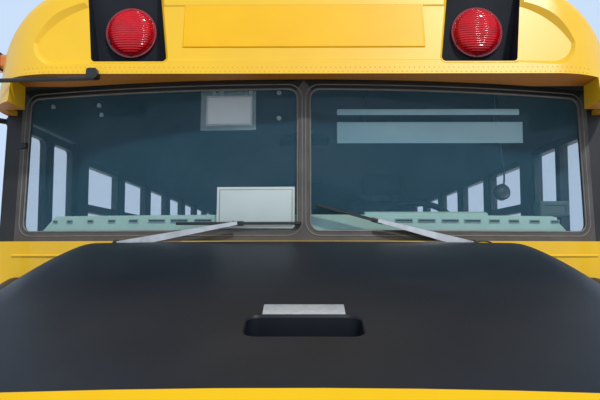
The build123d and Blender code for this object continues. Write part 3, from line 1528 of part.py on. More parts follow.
red_places = [facing(s * warning_x, pocket_floor, warning_z) for s in (1, -1)]
red_places += [facing(s * 560, rear_wall_y + wall_thickness, rear_warning_z, False) for s in (1, -1)]
red_places += [facing(s * 900, rear_wall_y + wall_thickness, 1330, False) for s in (1, -1)]
amber_places = [facing(s * 660, rear_wall_y + wall_thickness, 1330, False) for s in (1, -1)]
save(lamp_bodies(red_places, 16), "red_lamps")

turn_lamps = lamp_bodies(amber_places, 16)
with BuildPart() as amber_lamps:
    add(turn_lamps)
    for side in (1, -1):
        with BuildSketch(Plane.YZ.offset(side * (half_width - 36))):
            with Locations((roof_front - 46, 2557)):
                RectangleRounded(90, 58, 14)
        extrude(amount=side * 68)
    add(front_cap.part, mode=Mode.SUBTRACT)
save(amber_lamps.part, "amber_lamps")

# Mirrors: tube loops on the front posts, their heads, and the rod along the visor lip
mirror_x = half_width + 180
mirror_y = cowl_y + 35
mirror_top = 2330
mirror_low = 1560
mirror_foot_y = wall_front + 62
tube_radius = 11
with BuildPart() as mirrors:
    for side in (1, -1):
        with BuildLine() as loop:
            FilletPolyline(
                (side * half_width, mirror_foot_y, mirror_top), (side * mirror_x, mirror_y, mirror_top),
                (side * mirror_x, mirror_y, mirror_low), (side * half_width, mirror_foot_y - 8, mirror_low),
                radius=60,
            )
        with BuildSketch(Plane(origin=loop.line @ 0, z_dir=loop.line % 0)):
            Circle(tube_radius)
        sweep(path=loop.line)
        with BuildSketch(station(mirror_y + 8)):
            with Locations((side * mirror_x, 2070)):
                RectangleRounded(190, 330, 30)
            with Locations((side * mirror_x, 1770)):
                RectangleRounded(190, 190, 40)
        extrude(amount=46)
        for z in (mirror_top, mirror_low):
            with BuildSketch(Plane.YZ.offset(side * half_width)):
                with Locations((mirror_foot_y - 2, z)):
                    Circle(19)
            extrude(amount=side * 8)
    with BuildSketch(Plane.YZ.offset(-half_width)):
        with Locations((wall_front - 200, 1900)):
            Rectangle(600, 2000)
    extrude(amount=60, mode=Mode.SUBTRACT)
    with BuildSketch(Plane.YZ.offset(half_width)):
        with Locations((wall_front - 200, 1900)):
            Rectangle(600, 2000)
    extrude(amount=-60, mode=Mode.SUBTRACT)
    rod_start = Vector(-760, cap_front - 12, cap_bottom - 6)
    rod_bend = Vector(-half_width - 30, cap_front + 61, cap_bottom + 2)
    rod_end = Vector(-mirror_x, mirror_y, mirror_top - 40)
    for start, end in ((rod_start, rod_bend), (rod_bend, rod_end)):
        with BuildSketch(Plane(origin=start, z_dir=end - start)):
            Circle(8)
        extrude(amount=(end - start).length)
    with BuildSketch(station(cap_front + 20)):
        with Locations((-770, lip_bottom - 2)):
            RectangleRounded(40, 36, 10)
    extrude(amount=40)
    add(front_cap.part, mode=Mode.SUBTRACT)
save(mirrors.part, "mirrors")

# Cross-view mirrors: bowls on bent tubes above the front corners of the bonnet
bowl_x = 1080
bowl_y = nose_y - 80
bowl_z = 1600
bowl_radius = 128
bowl_depth = 72
with BuildPart() as crossview_mirrors:
    for side in (1, -1):
        with BuildLine() as stalk:
            FilletPolyline(
                (side * 960, nose_y + 270, 1380), (side * 980, nose_y + 230, 1600),
                (side * bowl_x, bowl_y - 20, bowl_z + 20),
                radius=50,
            )
        with BuildSketch(Plane(origin=stalk.line @ 0, z_dir=stalk.line % 0)):
            Circle(9)
        sweep(path=stalk.line)
        with BuildSketch(Plane.XY.offset(1380)):
            with Locations((side * 962, nose_y + 268)):
                Circle(30)
        extrude(amount=62)
        with BuildSketch(Plane.YZ.offset(side * bowl_x)):
            with BuildLine():
                Polyline((bowl_y, bowl_z + bowl_radius), (bowl_y, bowl_z), (bowl_y - bowl_depth, bowl_z))
                RadiusArc(
                    (bowl_y - bowl_depth, bowl_z), (bowl_y, bowl_z + bowl_radius),
                    (bowl_radius**2 + bowl_depth**2) / (2 * bowl_depth),
                )
            make_face()
        revolve(axis=Axis((side * bowl_x, bowl_y, bowl_z), (0, 1, 0)))
    add(bonnet_outside, mode=Mode.SUBTRACT)
save(crossview_mirrors.part, "crossview_mirrors")

# Wipers: two curved arms parked across the lower screen
wiper_table = (
    # pivot, blade centre, blade slope in degrees
    (-700, (-245, 1900), 0),
    (627, (272, 1909), -15.2),
)
pivot_z = 1818
blade_length = 470


def front_strip(centre_y, outside, inside, centre, slope, length, height, rounded):
    """A flat bar bent to the curved front, from outside to inside of its line."""
    with BuildPart() as strip:
        with BuildSketch(Plane.XY.offset(pivot_z - 100)):
            arc_band(centre_y, -1100, 1100, outside, inside)
        extrude(amount=300)
        with BuildSketch(station(screen_y + 330)):
            with Locations(Location(centre, slope)):
                if rounded:
                    SlotOverall(length, height)
                else:
                    Rectangle(length, height)
        extrude(amount=600, mode=Mode.INTERSECT)
    return strip.part


wiper_strips = []
for pivot_x, (blade_x, blade_z), slope in wiper_table:
    arm_angle = degrees(atan2(blade_z - pivot_z, blade_x - pivot_x))
    arm_length = sqrt((blade_x - pivot_x) ** 2 + (blade_z - pivot_z) ** 2)
    arm_middle = ((pivot_x + blade_x) / 2, (pivot_z + blade_z) / 2)
    wiper_strips += [
        front_strip(cowl_y, 24, -5, arm_middle, arm_angle, arm_length + 30, 20, True),
        front_strip(screen_y, 14, -2, (blade_x, blade_z), slope, blade_length, 18, False),
        front_strip(screen_y, 34, -2, (blade_x, blade_z), 0, 34, 22, False),
        front_strip(cowl_y, 30, -0.2, (pivot_x, pivot_z), 0, 34.1, 34, True),
    ]
with BuildPart() as wipers:
    add(wiper_strips)
save(wipers.part, "wipers")
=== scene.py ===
import json
import math

import bpy
from mathutils import Matrix, Vector

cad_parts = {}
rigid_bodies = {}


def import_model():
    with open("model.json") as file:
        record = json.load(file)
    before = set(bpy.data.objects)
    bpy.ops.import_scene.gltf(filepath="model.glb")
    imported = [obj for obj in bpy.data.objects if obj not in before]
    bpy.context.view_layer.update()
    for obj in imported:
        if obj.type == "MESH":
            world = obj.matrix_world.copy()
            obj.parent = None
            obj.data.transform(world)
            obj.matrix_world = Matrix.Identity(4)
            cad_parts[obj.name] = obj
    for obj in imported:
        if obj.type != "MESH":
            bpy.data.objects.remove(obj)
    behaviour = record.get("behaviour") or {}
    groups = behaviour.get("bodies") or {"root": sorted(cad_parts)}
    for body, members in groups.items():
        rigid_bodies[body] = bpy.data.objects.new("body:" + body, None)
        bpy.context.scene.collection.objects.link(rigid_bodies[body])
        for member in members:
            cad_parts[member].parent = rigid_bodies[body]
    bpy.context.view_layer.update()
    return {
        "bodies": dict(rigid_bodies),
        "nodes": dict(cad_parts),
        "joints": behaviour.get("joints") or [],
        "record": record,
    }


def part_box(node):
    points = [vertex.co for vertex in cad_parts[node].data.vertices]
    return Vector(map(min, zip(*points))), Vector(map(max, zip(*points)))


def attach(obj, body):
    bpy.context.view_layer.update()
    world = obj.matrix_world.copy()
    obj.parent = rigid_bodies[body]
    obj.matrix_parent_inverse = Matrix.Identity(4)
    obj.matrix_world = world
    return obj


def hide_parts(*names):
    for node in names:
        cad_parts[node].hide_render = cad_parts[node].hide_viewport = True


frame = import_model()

bpy.ops.object.select_all(action="DESELECT")
nodes = frame["nodes"]


# Picking and shaping helpers

def clearPick():
    bpy.ops.object.select_all(action="DESELECT")


def pickOnly(piece):
    clearPick()
    piece.select_set(True)
    bpy.context.view_layer.objects.active = piece


def applyPlace():
    bpy.ops.object.transform_apply(location=True, rotation=True, scale=True)


def pickFaces(piece, test):
    # leaves edit mode on, with just the faces that pass the test on centre and normal
    bpy.ops.object.mode_set(mode="EDIT")
    bpy.ops.mesh.select_mode(type="FACE")
    bpy.ops.mesh.select_all(action="DESELECT")
    bpy.ops.object.mode_set(mode="OBJECT")
    for face in piece.data.polygons:
        face.select = test(face.center, face.normal)
    bpy.ops.object.mode_set(mode="EDIT")


def bevelPlate(size, bevel=0.002, rim=0.0, sink=0.0, segments=2, at=None):
    # a plate at the origin with soft edges, and a panel pressed into its front (-y) face
    clearPick()
    bpy.ops.mesh.primitive_cube_add(size=1, scale=size)
    plate = bpy.context.object
    bpy.ops.object.transform_apply(location=False, rotation=False, scale=True)
    bpy.ops.object.mode_set(mode="EDIT")
    bpy.ops.mesh.select_all(action="SELECT")
    bpy.ops.mesh.bevel(offset=bevel, segments=segments, affect="EDGES")
    bpy.ops.object.mode_set(mode="OBJECT")
    if rim:
        pickFaces(plate, lambda c, n: n.y < -0.99)
        bpy.ops.mesh.inset(thickness=rim, depth=0)
        bpy.ops.mesh.inset(thickness=abs(sink), depth=-sink)
        bpy.ops.object.mode_set(mode="OBJECT")
    if at:
        plate.matrix_world = at
    return plate


def closeMesh(gap):
    # leaves edit mode with doubles merged and normals outward
    bpy.ops.mesh.select_all(action="SELECT")
    bpy.ops.mesh.remove_doubles(threshold=gap)
    bpy.ops.mesh.normals_make_consistent(inside=False)
    bpy.ops.object.mode_set(mode="OBJECT")


def turnRings(rings, steps=32, filled=True, at=None):
    # a round piece up the z axis, drawn out ring by ring from (radius, height) pairs
    clearPick()
    bpy.ops.mesh.primitive_circle_add(vertices=steps, radius=rings[0][0], fill_type="NGON" if filled else "NOTHING")
    bpy.ops.object.mode_set(mode="EDIT")
    bpy.ops.mesh.select_mode(type="VERT")
    bpy.ops.mesh.select_all(action="SELECT")
    bpy.ops.transform.translate(value=(0, 0, rings[0][1]))
    for (radius, height), (nextRadius, nextHeight) in zip(rings, rings[1:]):
        bpy.ops.mesh.extrude_region_move(TRANSFORM_OT_translate={"value": (0, 0, nextHeight - height)})
        grow = nextRadius / radius
        bpy.ops.transform.resize(value=(grow, grow, 1), center_override=(0, 0, nextHeight))
    closeMesh(1e-6)
    if at:
        bpy.context.object.matrix_world = at
    return bpy.context.object


def runTube(points, radius, closed=False, sides=2, smooth=False):
    # a round tube along a line of points
    clearPick()
    bpy.ops.curve.primitive_nurbs_path_add()
    path = bpy.context.object
    path.data.splines.clear()
    line = path.data.splines.new("NURBS" if smooth else "POLY")
    line.points.add(len(points) - 1)
    for spot, point in zip(line.points, points):
        spot.co = (*point, 1.0)
    line.use_cyclic_u = closed
    if smooth:
        line.order_u = 3
        line.use_endpoint_u = not closed
    path.data.bevel_depth = radius
    path.data.bevel_resolution = sides
    path.data.use_fill_caps = not closed
    bpy.ops.object.convert(target="MESH")
    bpy.ops.object.mode_set(mode="EDIT")
    bpy.ops.mesh.select_mode(type="VERT")
    closeMesh(1e-5)
    return bpy.context.object


def spot(place, turn=(0, 0, 0), grow=(1, 1, 1)):
    # a place, a turn in degrees about x, then y, then z, and a size
    move = Matrix.Translation(place)
    for axis, degrees in zip("ZYX", reversed(turn)):
        move = move @ Matrix.Rotation(math.radians(degrees), 4, axis)
    return move @ Matrix.Diagonal((*grow, 1))


def joinPieces(pieces):
    clearPick()
    for piece in pieces:
        piece.select_set(True)
    bpy.context.view_layer.objects.active = pieces[0]
    if len(pieces) > 1:
        bpy.ops.object.join()
    applyPlace()
    return bpy.context.object


def copyTo(pattern, spots):
    # one pattern at the origin, copied to every spot with its own mesh and joined
    made = []
    for place in spots:
        twin = pattern.copy()
        twin.data = pattern.data.copy()
        bpy.context.collection.objects.link(twin)
        twin.matrix_world = place
        made.append(twin)
    bpy.data.objects.remove(pattern)
    return joinPieces(made)


def settle(piece, name, material, body="bus_body", angle=35.0, slotName=None):
    # the last step for every piece: its name, material and body
    slotName = slotName or slotOf[material]
    pickOnly(piece)
    applyPlace()
    bpy.ops.object.shade_smooth_by_angle(angle=math.radians(angle))
    piece.name = name
    piece.data.name = name
    piece.data.materials.clear()
    piece.data.materials.append(material)
    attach(piece, body)
    return piece


screenShape = {"radius": 3.800, "front": -3.930, "foot": 1.835, "slope": 0.0787, "lean": 4.5}


def planDrop(x):
    # how far the curved front falls back at x
    return screenShape["radius"] - math.sqrt(screenShape["radius"] ** 2 - x * x)


def screenTurn(x):
    return math.degrees(math.asin(x / screenShape["radius"]))


def screenY(x, z):
    return screenShape["front"] + planDrop(x) + (z - screenShape["foot"]) * screenShape["slope"]


capShape = {"front": -4.010, "foot": 2.430, "slope": 0.2309}


def capY(z):
    return capShape["front"] + capShape["slope"] * (z - capShape["foot"])


def touch(node, start, direction):
    # where a straight line from outside first meets a node, and the way its surface faces there
    found, place, normal, _ = nodes[node].ray_cast(Vector(start), Vector(direction))
    return (place, normal) if found else None


def touchSide(node, side, y, z):
    return touch(node, (side * 2, y, z), (-side, 0, 0))


def touchFront(node, x, z):
    return touch(node, (x, -6, z), (0, 1, 0))


def touchRear(node, x, z):
    return touch(node, (x, 6.5, z), (0, -1, 0))


def facing(place, normal, lift=0.0):
    # a spot whose z axis stands on a surface
    turn = normal.to_track_quat("Z", "Y").to_matrix().to_4x4()
    return Matrix.Translation(place + normal * lift) @ turn


def standOn(finds, lift=0.0):
    return [facing(*found, lift) for found in finds if found]


walls = ((1, "left_wall"), (-1, "right_wall"))
axles = {"front": -4.450, "rear": 2.000, "height": 0.520}


# Materials

def newMaterial(name):
    material = bpy.data.materials.new(name)
    material.use_nodes = True
    tree = material.node_tree
    shader = tree.nodes["Principled BSDF"]
    place = tree.nodes.new("ShaderNodeTexCoord")
    return material, tree, shader, place.outputs["Object"]


def setInputs(node, values):
    for name, value in values.items():
        node.inputs[name].default_value = value


def addNoise(tree, place, scale, detail=3.0, roughness=0.55):
    noise = tree.nodes.new("ShaderNodeTexNoise")
    setInputs(noise, {"Scale": scale, "Detail": detail, "Roughness": roughness})
    tree.links.new(place, noise.inputs["Vector"])
    return noise.outputs["Fac"]


def addRamp(tree, value, stops):
    ramp = tree.nodes.new("ShaderNodeValToRGB")
    while len(ramp.color_ramp.elements) < len(stops):
        ramp.color_ramp.elements.new(0.5)
    for element, (position, colour) in zip(ramp.color_ramp.elements, stops):
        element.position = position
        element.color = (*colour, 1.0)
    tree.links.new(value, ramp.inputs["Fac"])
    return ramp.outputs["Color"]


def addRange(tree, value, fromLow, fromHigh, toLow, toHigh):
    node = tree.nodes.new("ShaderNodeMapRange")
    setInputs(node, {"From Min": fromLow, "From Max": fromHigh, "To Min": toLow, "To Max": toHigh})
    tree.links.new(value, node.inputs["Value"])
    return node.outputs["Result"]


def addMath(tree, operation, first, second):
    node = tree.nodes.new("ShaderNodeMath")
    node.operation = operation
    for socket, value in zip(node.inputs, (first, second)):
        if isinstance(value, (int, float)):
            socket.default_value = value
        else:
            tree.links.new(value, socket)
    return node.outputs[0]


def addBump(tree, height, strength, distance):
    bump = tree.nodes.new("ShaderNodeBump")
    setInputs(bump, {"Strength": strength, "Distance": distance})
    tree.links.new(height, bump.inputs["Height"])
    return bump.outputs["Normal"]


def addMix(tree, factor, first, second):
    mix = tree.nodes.new("ShaderNodeMix")
    mix.data_type = "RGBA"
    tree.links.new(factor, mix.inputs[0])
    for value, socket in ((first, mix.inputs[6]), (second, mix.inputs[7])):
        if isinstance(value, tuple):
            socket.default_value = (*value, 1.0)
        else:
            tree.links.new(value, socket)
    return mix.outputs[2]


def makeFinish(name, base, worn, patch, grain, rough, metallic=0.0, coat=0.0, bump=0.05, bumpSize=0.001,
               shine=0.5):
    # colour wanders between base and worn in patches, with a fine grain in roughness and bump
    material, tree, shader, place = newMaterial(name)
    wander = addNoise(tree, place, patch, 4.0, 0.6)
    colour = addRamp(tree, wander, ((0.35, base), (0.7, worn)))
    tree.links.new(colour, shader.inputs["Base Color"])
    fine = addNoise(tree, place, grain, 2.0, 0.5)
    tree.links.new(addRange(tree, fine, 0.3, 0.7, rough[0], rough[1]), shader.inputs["Roughness"])
    tree.links.new(addBump(tree, fine, bump, bumpSize), shader.inputs["Normal"])
    setInputs(shader, {"Metallic": metallic, "Coat Weight": coat, "Coat Roughness": 0.06,
                       "Specular IOR Level": shine})
    return material


freshYellow, wornYellow = (0.93, 0.555, 0.008), (0.88, 0.505, 0.008)
bodyYellow = makeFinish("bodyYellow", freshYellow, wornYellow, 3.0, 420.0, (0.32, 0.40), coat=0.3, bump=0.03,
                        bumpSize=0.0004)
# painted shade: a deep orange-brown for the faces under the cap's lip, standing for the shade under it
lipPaintedShade = makeFinish("lipPaintedShade", (0.60, 0.20, 0.005), (0.55, 0.18, 0.005), 3.0, 420.0, (0.45, 0.55))
trimBlack = makeFinish("trimBlack", (0.012, 0.012, 0.013), (0.022, 0.021, 0.020), 8.0, 500.0, (0.38, 0.52), bump=0.1)
chassisBlack = makeFinish("chassisBlack", (0.018, 0.018, 0.019), (0.055, 0.045, 0.036), 6.0, 160.0, (0.55, 0.75),
                          bump=0.25)
castIron = makeFinish("castIron", (0.06, 0.06, 0.06), (0.10, 0.075, 0.055), 9.0, 220.0, (0.55, 0.8), 0.6, bump=0.5,
                      bumpSize=0.002)
dullSteel = makeFinish("dullSteel", (0.34, 0.34, 0.34), (0.22, 0.20, 0.18), 10.0, 300.0, (0.35, 0.55), 0.9)
coreMetal = makeFinish("coreMetal", (0.05, 0.05, 0.05), (0.09, 0.09, 0.088), 14.0, 600.0, (0.5, 0.7), 0.5, bump=0.6)
wheelWhite = makeFinish("wheelWhite", (0.62, 0.62, 0.60), (0.40, 0.38, 0.34), 7.0, 260.0, (0.4, 0.55))
tyreRubber = makeFinish("tyreRubber", (0.016, 0.016, 0.016), (0.045, 0.041, 0.037), 9.0, 240.0, (0.75, 0.92),
                        bump=0.4)
sealRubber = makeFinish("sealRubber", (0.095, 0.086, 0.082), (0.065, 0.058, 0.056), 12.0, 380.0, (0.6, 0.78),
                        bump=0.3)
sashAluminium = makeFinish("sashAluminium", (0.020, 0.020, 0.020), (0.045, 0.044, 0.042), 10.0, 420.0, (0.35, 0.5),
                           0.2)
floorRubber = makeFinish("floorRubber", (0.030, 0.031, 0.030), (0.055, 0.052, 0.048), 5.0, 180.0, (0.6, 0.8),
                         bump=0.4)
dashPlastic = makeFinish("dashPlastic", (0.54, 0.80, 0.70), (0.48, 0.71, 0.62), 6.0, 420.0, (0.55, 0.7), bump=0.2)
seatVinyl = makeFinish("seatVinyl", (0.035, 0.055, 0.045), (0.05, 0.075, 0.06), 11.0, 700.0, (0.45, 0.6), bump=0.4,
                       bumpSize=0.0008)
driverCloth = makeFinish("driverCloth", (0.035, 0.037, 0.042), (0.06, 0.062, 0.07), 18.0, 900.0, (0.8, 0.95),
                         bump=0.6, bumpSize=0.0008)
gripPlastic = makeFinish("gripPlastic", (0.010, 0.010, 0.010), (0.020, 0.020, 0.020), 14.0, 520.0, (0.4, 0.55),
                         bump=0.25)
redLens = makeFinish("redLens", (0.36, 0.004, 0.006), (0.26, 0.003, 0.005), 16.0, 90.0, (0.10, 0.18), coat=0.8)
amberLens = makeFinish("amberLens", (0.75, 0.20, 0.008), (0.62, 0.15, 0.006), 16.0, 90.0, (0.12, 0.2), coat=0.8)
clearLens = makeFinish("clearLens", (0.62, 0.65, 0.66), (0.50, 0.53, 0.55), 16.0, 60.0, (0.08, 0.16), coat=0.8)
stopRed = makeFinish("stopRed", (0.42, 0.010, 0.012), (0.34, 0.008, 0.010), 8.0, 420.0, (0.35, 0.5))
wiperMetal = makeFinish("wiperMetal", (0.66, 0.66, 0.66), (0.50, 0.49, 0.48), 20.0, 500.0, (0.30, 0.45), 0.6)
mirrorFace = makeFinish("mirrorFace", (0.80, 0.81, 0.82), (0.76, 0.77, 0.78), 4.0, 60.0, (0.03, 0.06), 1.0, bump=0.0)
# painted shade: the cabin's inner faces are painted near black, standing for the shade inside the cabin
innerPaintedShade = makeFinish("innerPaintedShade", (0.080, 0.098, 0.105), (0.060, 0.074, 0.080), 4.0, 420.0, (0.5, 0.65),
                        shine=0.3)
pocketBlack = makeFinish("pocketBlack", (0.008, 0.010, 0.014), (0.014, 0.017, 0.023), 7.0, 380.0, (0.55, 0.7),
                         bump=0.2, shine=0.2)
signYellow = makeFinish("signYellow", (0.94, 0.52, 0.006), (0.91, 0.48, 0.006), 5.0, 900.0, (0.34, 0.42), bump=0.08,
                        bumpSize=0.0003, shine=0.3)
rivetYellow = makeFinish("rivetYellow", (0.66, 0.38, 0.010), (0.54, 0.29, 0.010), 30.0, 900.0, (0.4, 0.55))
sealBead = makeFinish("sealBead", (0.20, 0.19, 0.17), (0.14, 0.13, 0.12), 16.0, 420.0, (0.45, 0.6), bump=0.2)
cardWhite = makeFinish("cardWhite", (0.90, 0.94, 0.92), (0.86, 0.90, 0.88), 14.0, 600.0, (0.55, 0.7))
cardCream = makeFinish("cardCream", (0.88, 0.94, 0.88), (0.83, 0.89, 0.83), 14.0, 600.0, (0.55, 0.7))
cardGold = makeFinish("cardGold", (0.42, 0.33, 0.13), (0.36, 0.28, 0.11), 14.0, 600.0, (0.4, 0.5), 0.3)
cardBlack = makeFinish("cardBlack", (0.02, 0.02, 0.02), (0.03, 0.03, 0.03), 14.0, 600.0, (0.5, 0.6))
paleSticker = makeFinish("paleSticker", (0.50, 0.52, 0.54), (0.38, 0.40, 0.42), 60.0, 700.0, (0.3, 0.45), 0.25,
                         bump=0.3, bumpSize=0.0004)
cupPlastic = makeFinish("cupPlastic", (0.34, 0.42, 0.41), (0.28, 0.35, 0.34), 20.0, 200.0, (0.2, 0.3))
boxGrey = makeFinish("boxGrey", (0.085, 0.130, 0.125), (0.060, 0.095, 0.095), 9.0, 420.0, (0.5, 0.65))
slotFrame = makeFinish("slotFrame", (0.34, 0.46, 0.43), (0.28, 0.39, 0.37), 14.0, 420.0, (0.5, 0.6))
visorTeal = makeFinish("visorTeal", (0.64, 0.93, 0.99), (0.54, 0.82, 0.90), 5.0, 200.0, (0.25, 0.4))


def makeRibbed(name, base, worn, ribs=720.0, strength=1.0):
    # a moulded lens with fine level ribs
    material = makeFinish(name, base, worn, 16.0, 90.0, (0.10, 0.16), coat=0.25, shine=0.35)
    tree = material.node_tree
    split = tree.nodes.new("ShaderNodeSeparateXYZ")
    place = next(node for node in tree.nodes if node.type == "TEX_COORD")
    tree.links.new(place.outputs["Object"], split.inputs["Vector"])
    wave = addMath(tree, "SINE", addMath(tree, "MULTIPLY", split.outputs["Z"], ribs), 0.0)
    tree.links.new(addBump(tree, wave, strength, 0.0011), tree.nodes["Principled BSDF"].inputs["Normal"])
    return material


ribbedRed = makeRibbed("ribbedRed", (0.70, 0.002, 0.012), (0.52, 0.002, 0.009))
ribbedAmber = makeRibbed("ribbedAmber", (0.80, 0.17, 0.020), (0.66, 0.13, 0.014))
ribbedClear = makeRibbed("ribbedClear", (0.70, 0.73, 0.74), (0.60, 0.63, 0.65), 900.0, 0.5)
signWhite = makeFinish("signWhite", (0.82, 0.82, 0.80), (0.76, 0.76, 0.74), 9.0, 900.0, (0.3, 0.4), bump=0.08)
chromeRing = makeFinish("chromeRing", (0.72, 0.72, 0.73), (0.60, 0.60, 0.61), 12.0, 300.0, (0.10, 0.2), 1.0)


def makeGlass(name, tint, rough=(0.01, 0.04), alpha=0.14):
    # thin clear panes with faint dust in the shine
    material, tree, shader, place = newMaterial(name)
    dust = addNoise(tree, place, 9.0, 6.0, 0.7)
    tree.links.new(addRamp(tree, dust, ((0.3, tint), (0.8, tuple(min(1.0, c * 1.25 + 0.03) for c in tint)))),
                   shader.inputs["Base Color"])
    tree.links.new(addRange(tree, dust, 0.3, 0.8, rough[0], rough[1]), shader.inputs["Roughness"])
    setInputs(shader, {"Alpha": alpha, "Specular IOR Level": 0.6})
    return material


screenGlass = makeGlass("screenGlass", (0.05, 0.19, 0.29))
sideGlass = makeGlass("sideGlass", (0.05, 0.15, 0.22), alpha=0.12)
clearPlastic = makeGlass("clearPlastic", (0.60, 0.72, 0.72), (0.10, 0.25), 0.22)


bonnetSplit = {"noseY": -5.230, "noseZ": 1.552, "noseLean": 6.0,
               "sideLine": ((0.0, 0.20), (0.208, 0.33), (0.625, 0.48), (1.0, 0.60))}


def makeBonnetPaint():
    # satin black above a rising line, body yellow below it
    material, tree, shader, place = newMaterial("bonnetPaint")
    split = tree.nodes.new("ShaderNodeSeparateXYZ")
    tree.links.new(place, split.inputs["Vector"])
    along = addRange(tree, split.outputs["Y"], -5.20, -3.76, 0.0, 1.0)
    line = addRamp(tree, along, tuple((at, (z, z, z)) for at, z in bonnetSplit["sideLine"]))
    above = addMath(tree, "SUBTRACT", addMath(tree, "SUBTRACT", split.outputs["Z"], 1.0), line)
    lean = math.radians(bonnetSplit["noseLean"])
    fromNose = addMath(tree, "SUBTRACT", split.outputs["Y"], bonnetSplit["noseY"])
    overNose = addMath(tree, "SUBTRACT", split.outputs["Z"], bonnetSplit["noseZ"])
    back = addMath(tree, "MULTIPLY", fromNose, math.cos(lean))
    rise = addMath(tree, "MULTIPLY", overNose, math.sin(lean))
    behind = addMath(tree, "SUBTRACT", back, rise)
    mask = addRange(tree, addMath(tree, "MINIMUM", above, behind), 0.0014, 0.0026, 0.0, 1.0)
    wander = addNoise(tree, place, 3.5, 4.0, 0.6)
    yellow = addRamp(tree, wander, ((0.35, freshYellow), (0.7, wornYellow)))
    black = addRamp(tree, wander, ((0.35, (0.007, 0.009, 0.013)), (0.7, (0.013, 0.015, 0.020))))
    tree.links.new(addMix(tree, mask, yellow, black), shader.inputs["Base Color"])
    fine = addNoise(tree, place, 360.0, 2.0, 0.5)
    satin = addRange(tree, fine, 0.3, 0.7, 0.40, 0.48)
    gloss = addRange(tree, fine, 0.3, 0.7, 0.32, 0.40)
    rough = tree.nodes.new("ShaderNodeMix")
    tree.links.new(mask, rough.inputs[0])
    tree.links.new(gloss, rough.inputs[2])
    tree.links.new(satin, rough.inputs[3])
    tree.links.new(rough.outputs[0], shader.inputs["Roughness"])
    tree.links.new(addBump(tree, fine, 0.05, 0.0005), shader.inputs["Normal"])
    setInputs(shader, {"Specular IOR Level": 0.19})
    return material


bonnetPaint = makeBonnetPaint()

usualSlots = {
    "yellow_paint": (bodyYellow, signYellow, rivetYellow),
    "black_paint": (trimBlack, gripPlastic, cardBlack, coreMetal),
    "red_lens": (ribbedRed,),
    "amber_lens": (ribbedAmber,),
    "lamp_clear": (clearLens, ribbedClear),
    "seal_rubber": (sealRubber, sealBead),
    "tyre_rubber": (tyreRubber,),
    "clear_glass": (clearPlastic, cupPlastic),
    "inner_plastic": (cardWhite, cardCream, cardGold, visorTeal, slotFrame, boxGrey),
    "wiper_metal": (wiperMetal,),
    "steel": (dullSteel, chromeRing, paleSticker, signWhite),
    "seat_cover": (seatVinyl,),
    "seat_fabric": (driverCloth,),
    "frame_paint": (chassisBlack,),
}
slotOf = {material: slotName for slotName, materials in usualSlots.items() for material in materials}


def finishNode(name, material, *others):
    # others are (material, test on a face's centre and normal)
    mesh = nodes[name].data
    mesh.materials.clear()
    mesh.materials.append(material)
    for extra, _ in others:
        mesh.materials.append(extra)
    for face in mesh.polygons:
        face.material_index = 0
        for index, (_, test) in enumerate(others):
            if test(face.center, face.normal):
                face.material_index = index + 1


nodeFinishes = {
    trimBlack: ("front_bumper", "rear_bumper", "rub_rails", "grille", "stop_arm_bracket"),
    chassisBlack: ("chassis_frame", "crossmembers", "front_axle", "rear_axle", "leaf_springs", "left_knuckle",
                   "right_knuckle", "tie_rod"),
    castIron: ("engine", "driveline"),
    coreMetal: ("radiator",),
    dullSteel: ("exhaust", "fuel_tank", "seat_frames"),
    wheelWhite: ("front_left_wheel", "front_right_wheel", "rear_left_wheels", "rear_right_wheels"),
    tyreRubber: ("front_left_tyre", "front_right_tyre", "rear_left_tyres", "rear_right_tyres"),
    screenGlass: ("windscreen",),
    sideGlass: ("window_glass", "entry_door_front_glass", "entry_door_rear_glass", "rear_door_glass"),
    sashAluminium: ("window_sashes",),
    floorRubber: ("floor",),
    dashPlastic: ("dashboard",),
    seatVinyl: ("bench_seats",),
    driverCloth: ("driver_seat",),
    gripPlastic: ("steering_column", "steering_wheel"),
    stopRed: ("stop_arm",),
    bonnetPaint: ("hood",),
    wiperMetal: ("wipers",),
    redLens: ("red_lamps",),
    amberLens: ("amber_lamps",),
}
for material, names in nodeFinishes.items():
    for name in names:
        finishNode(name, material)


def inOpening(c, n):
    # the cut edges of windows and doors, and the narrow posts beside the screen
    cutEdge = abs(n.x) < 0.5 and 0.58 < c.z < 2.37 and -3.70 < c.y < 5.25
    return cutEdge or (n.y < -0.3 and c.y < -3.70 and c.z > 1.84)


# painted shade: the walls' inner faces get the near-black cabin shade
finishNode("left_wall", bodyYellow, (innerPaintedShade, lambda c, n: n.x < -0.7), (trimBlack, inOpening))
finishNode("right_wall", bodyYellow, (innerPaintedShade, lambda c, n: n.x > 0.7), (trimBlack, inOpening))
# painted shade: the door leaves are black on every face but the outer one, for the shade on their frames and edges
for name in ("entry_door_front_leaf", "entry_door_rear_leaf"):
    finishNode(name, bodyYellow, (trimBlack, lambda c, n: n.x > -0.7))
# painted shade: the rear door's inner face gets the near-black cabin shade
finishNode("rear_door", bodyYellow, (innerPaintedShade, lambda c, n: n.y < -0.7),
           (trimBlack, lambda c, n: c.y > 5.306 or c.x < -0.346))
# painted shade: the seal's top, under the cap's lip, is black for the shade there over the dark rubber
finishNode("windscreen_seal", sealRubber, (trimBlack, lambda c, n: c.z > 2.426))


def underRoof(c, n):
    # the inner side of the roof, and the walls of the hatch's opening
    return Vector((c.x, 0, c.z - 1.7)).dot(n) < -0.1 or (abs(n.z) < 0.5 and abs(c.x) < 0.36)


# painted shade: the inner faces of the roof, hatch and rear wall get the near-black cabin shade
finishNode("roof", bodyYellow, (innerPaintedShade, underRoof))
finishNode("roof_hatch", bodyYellow, (innerPaintedShade, lambda c, n: n.z < -0.5))
finishNode("rear_wall", bodyYellow, (innerPaintedShade, lambda c, n: n.y < -0.7))


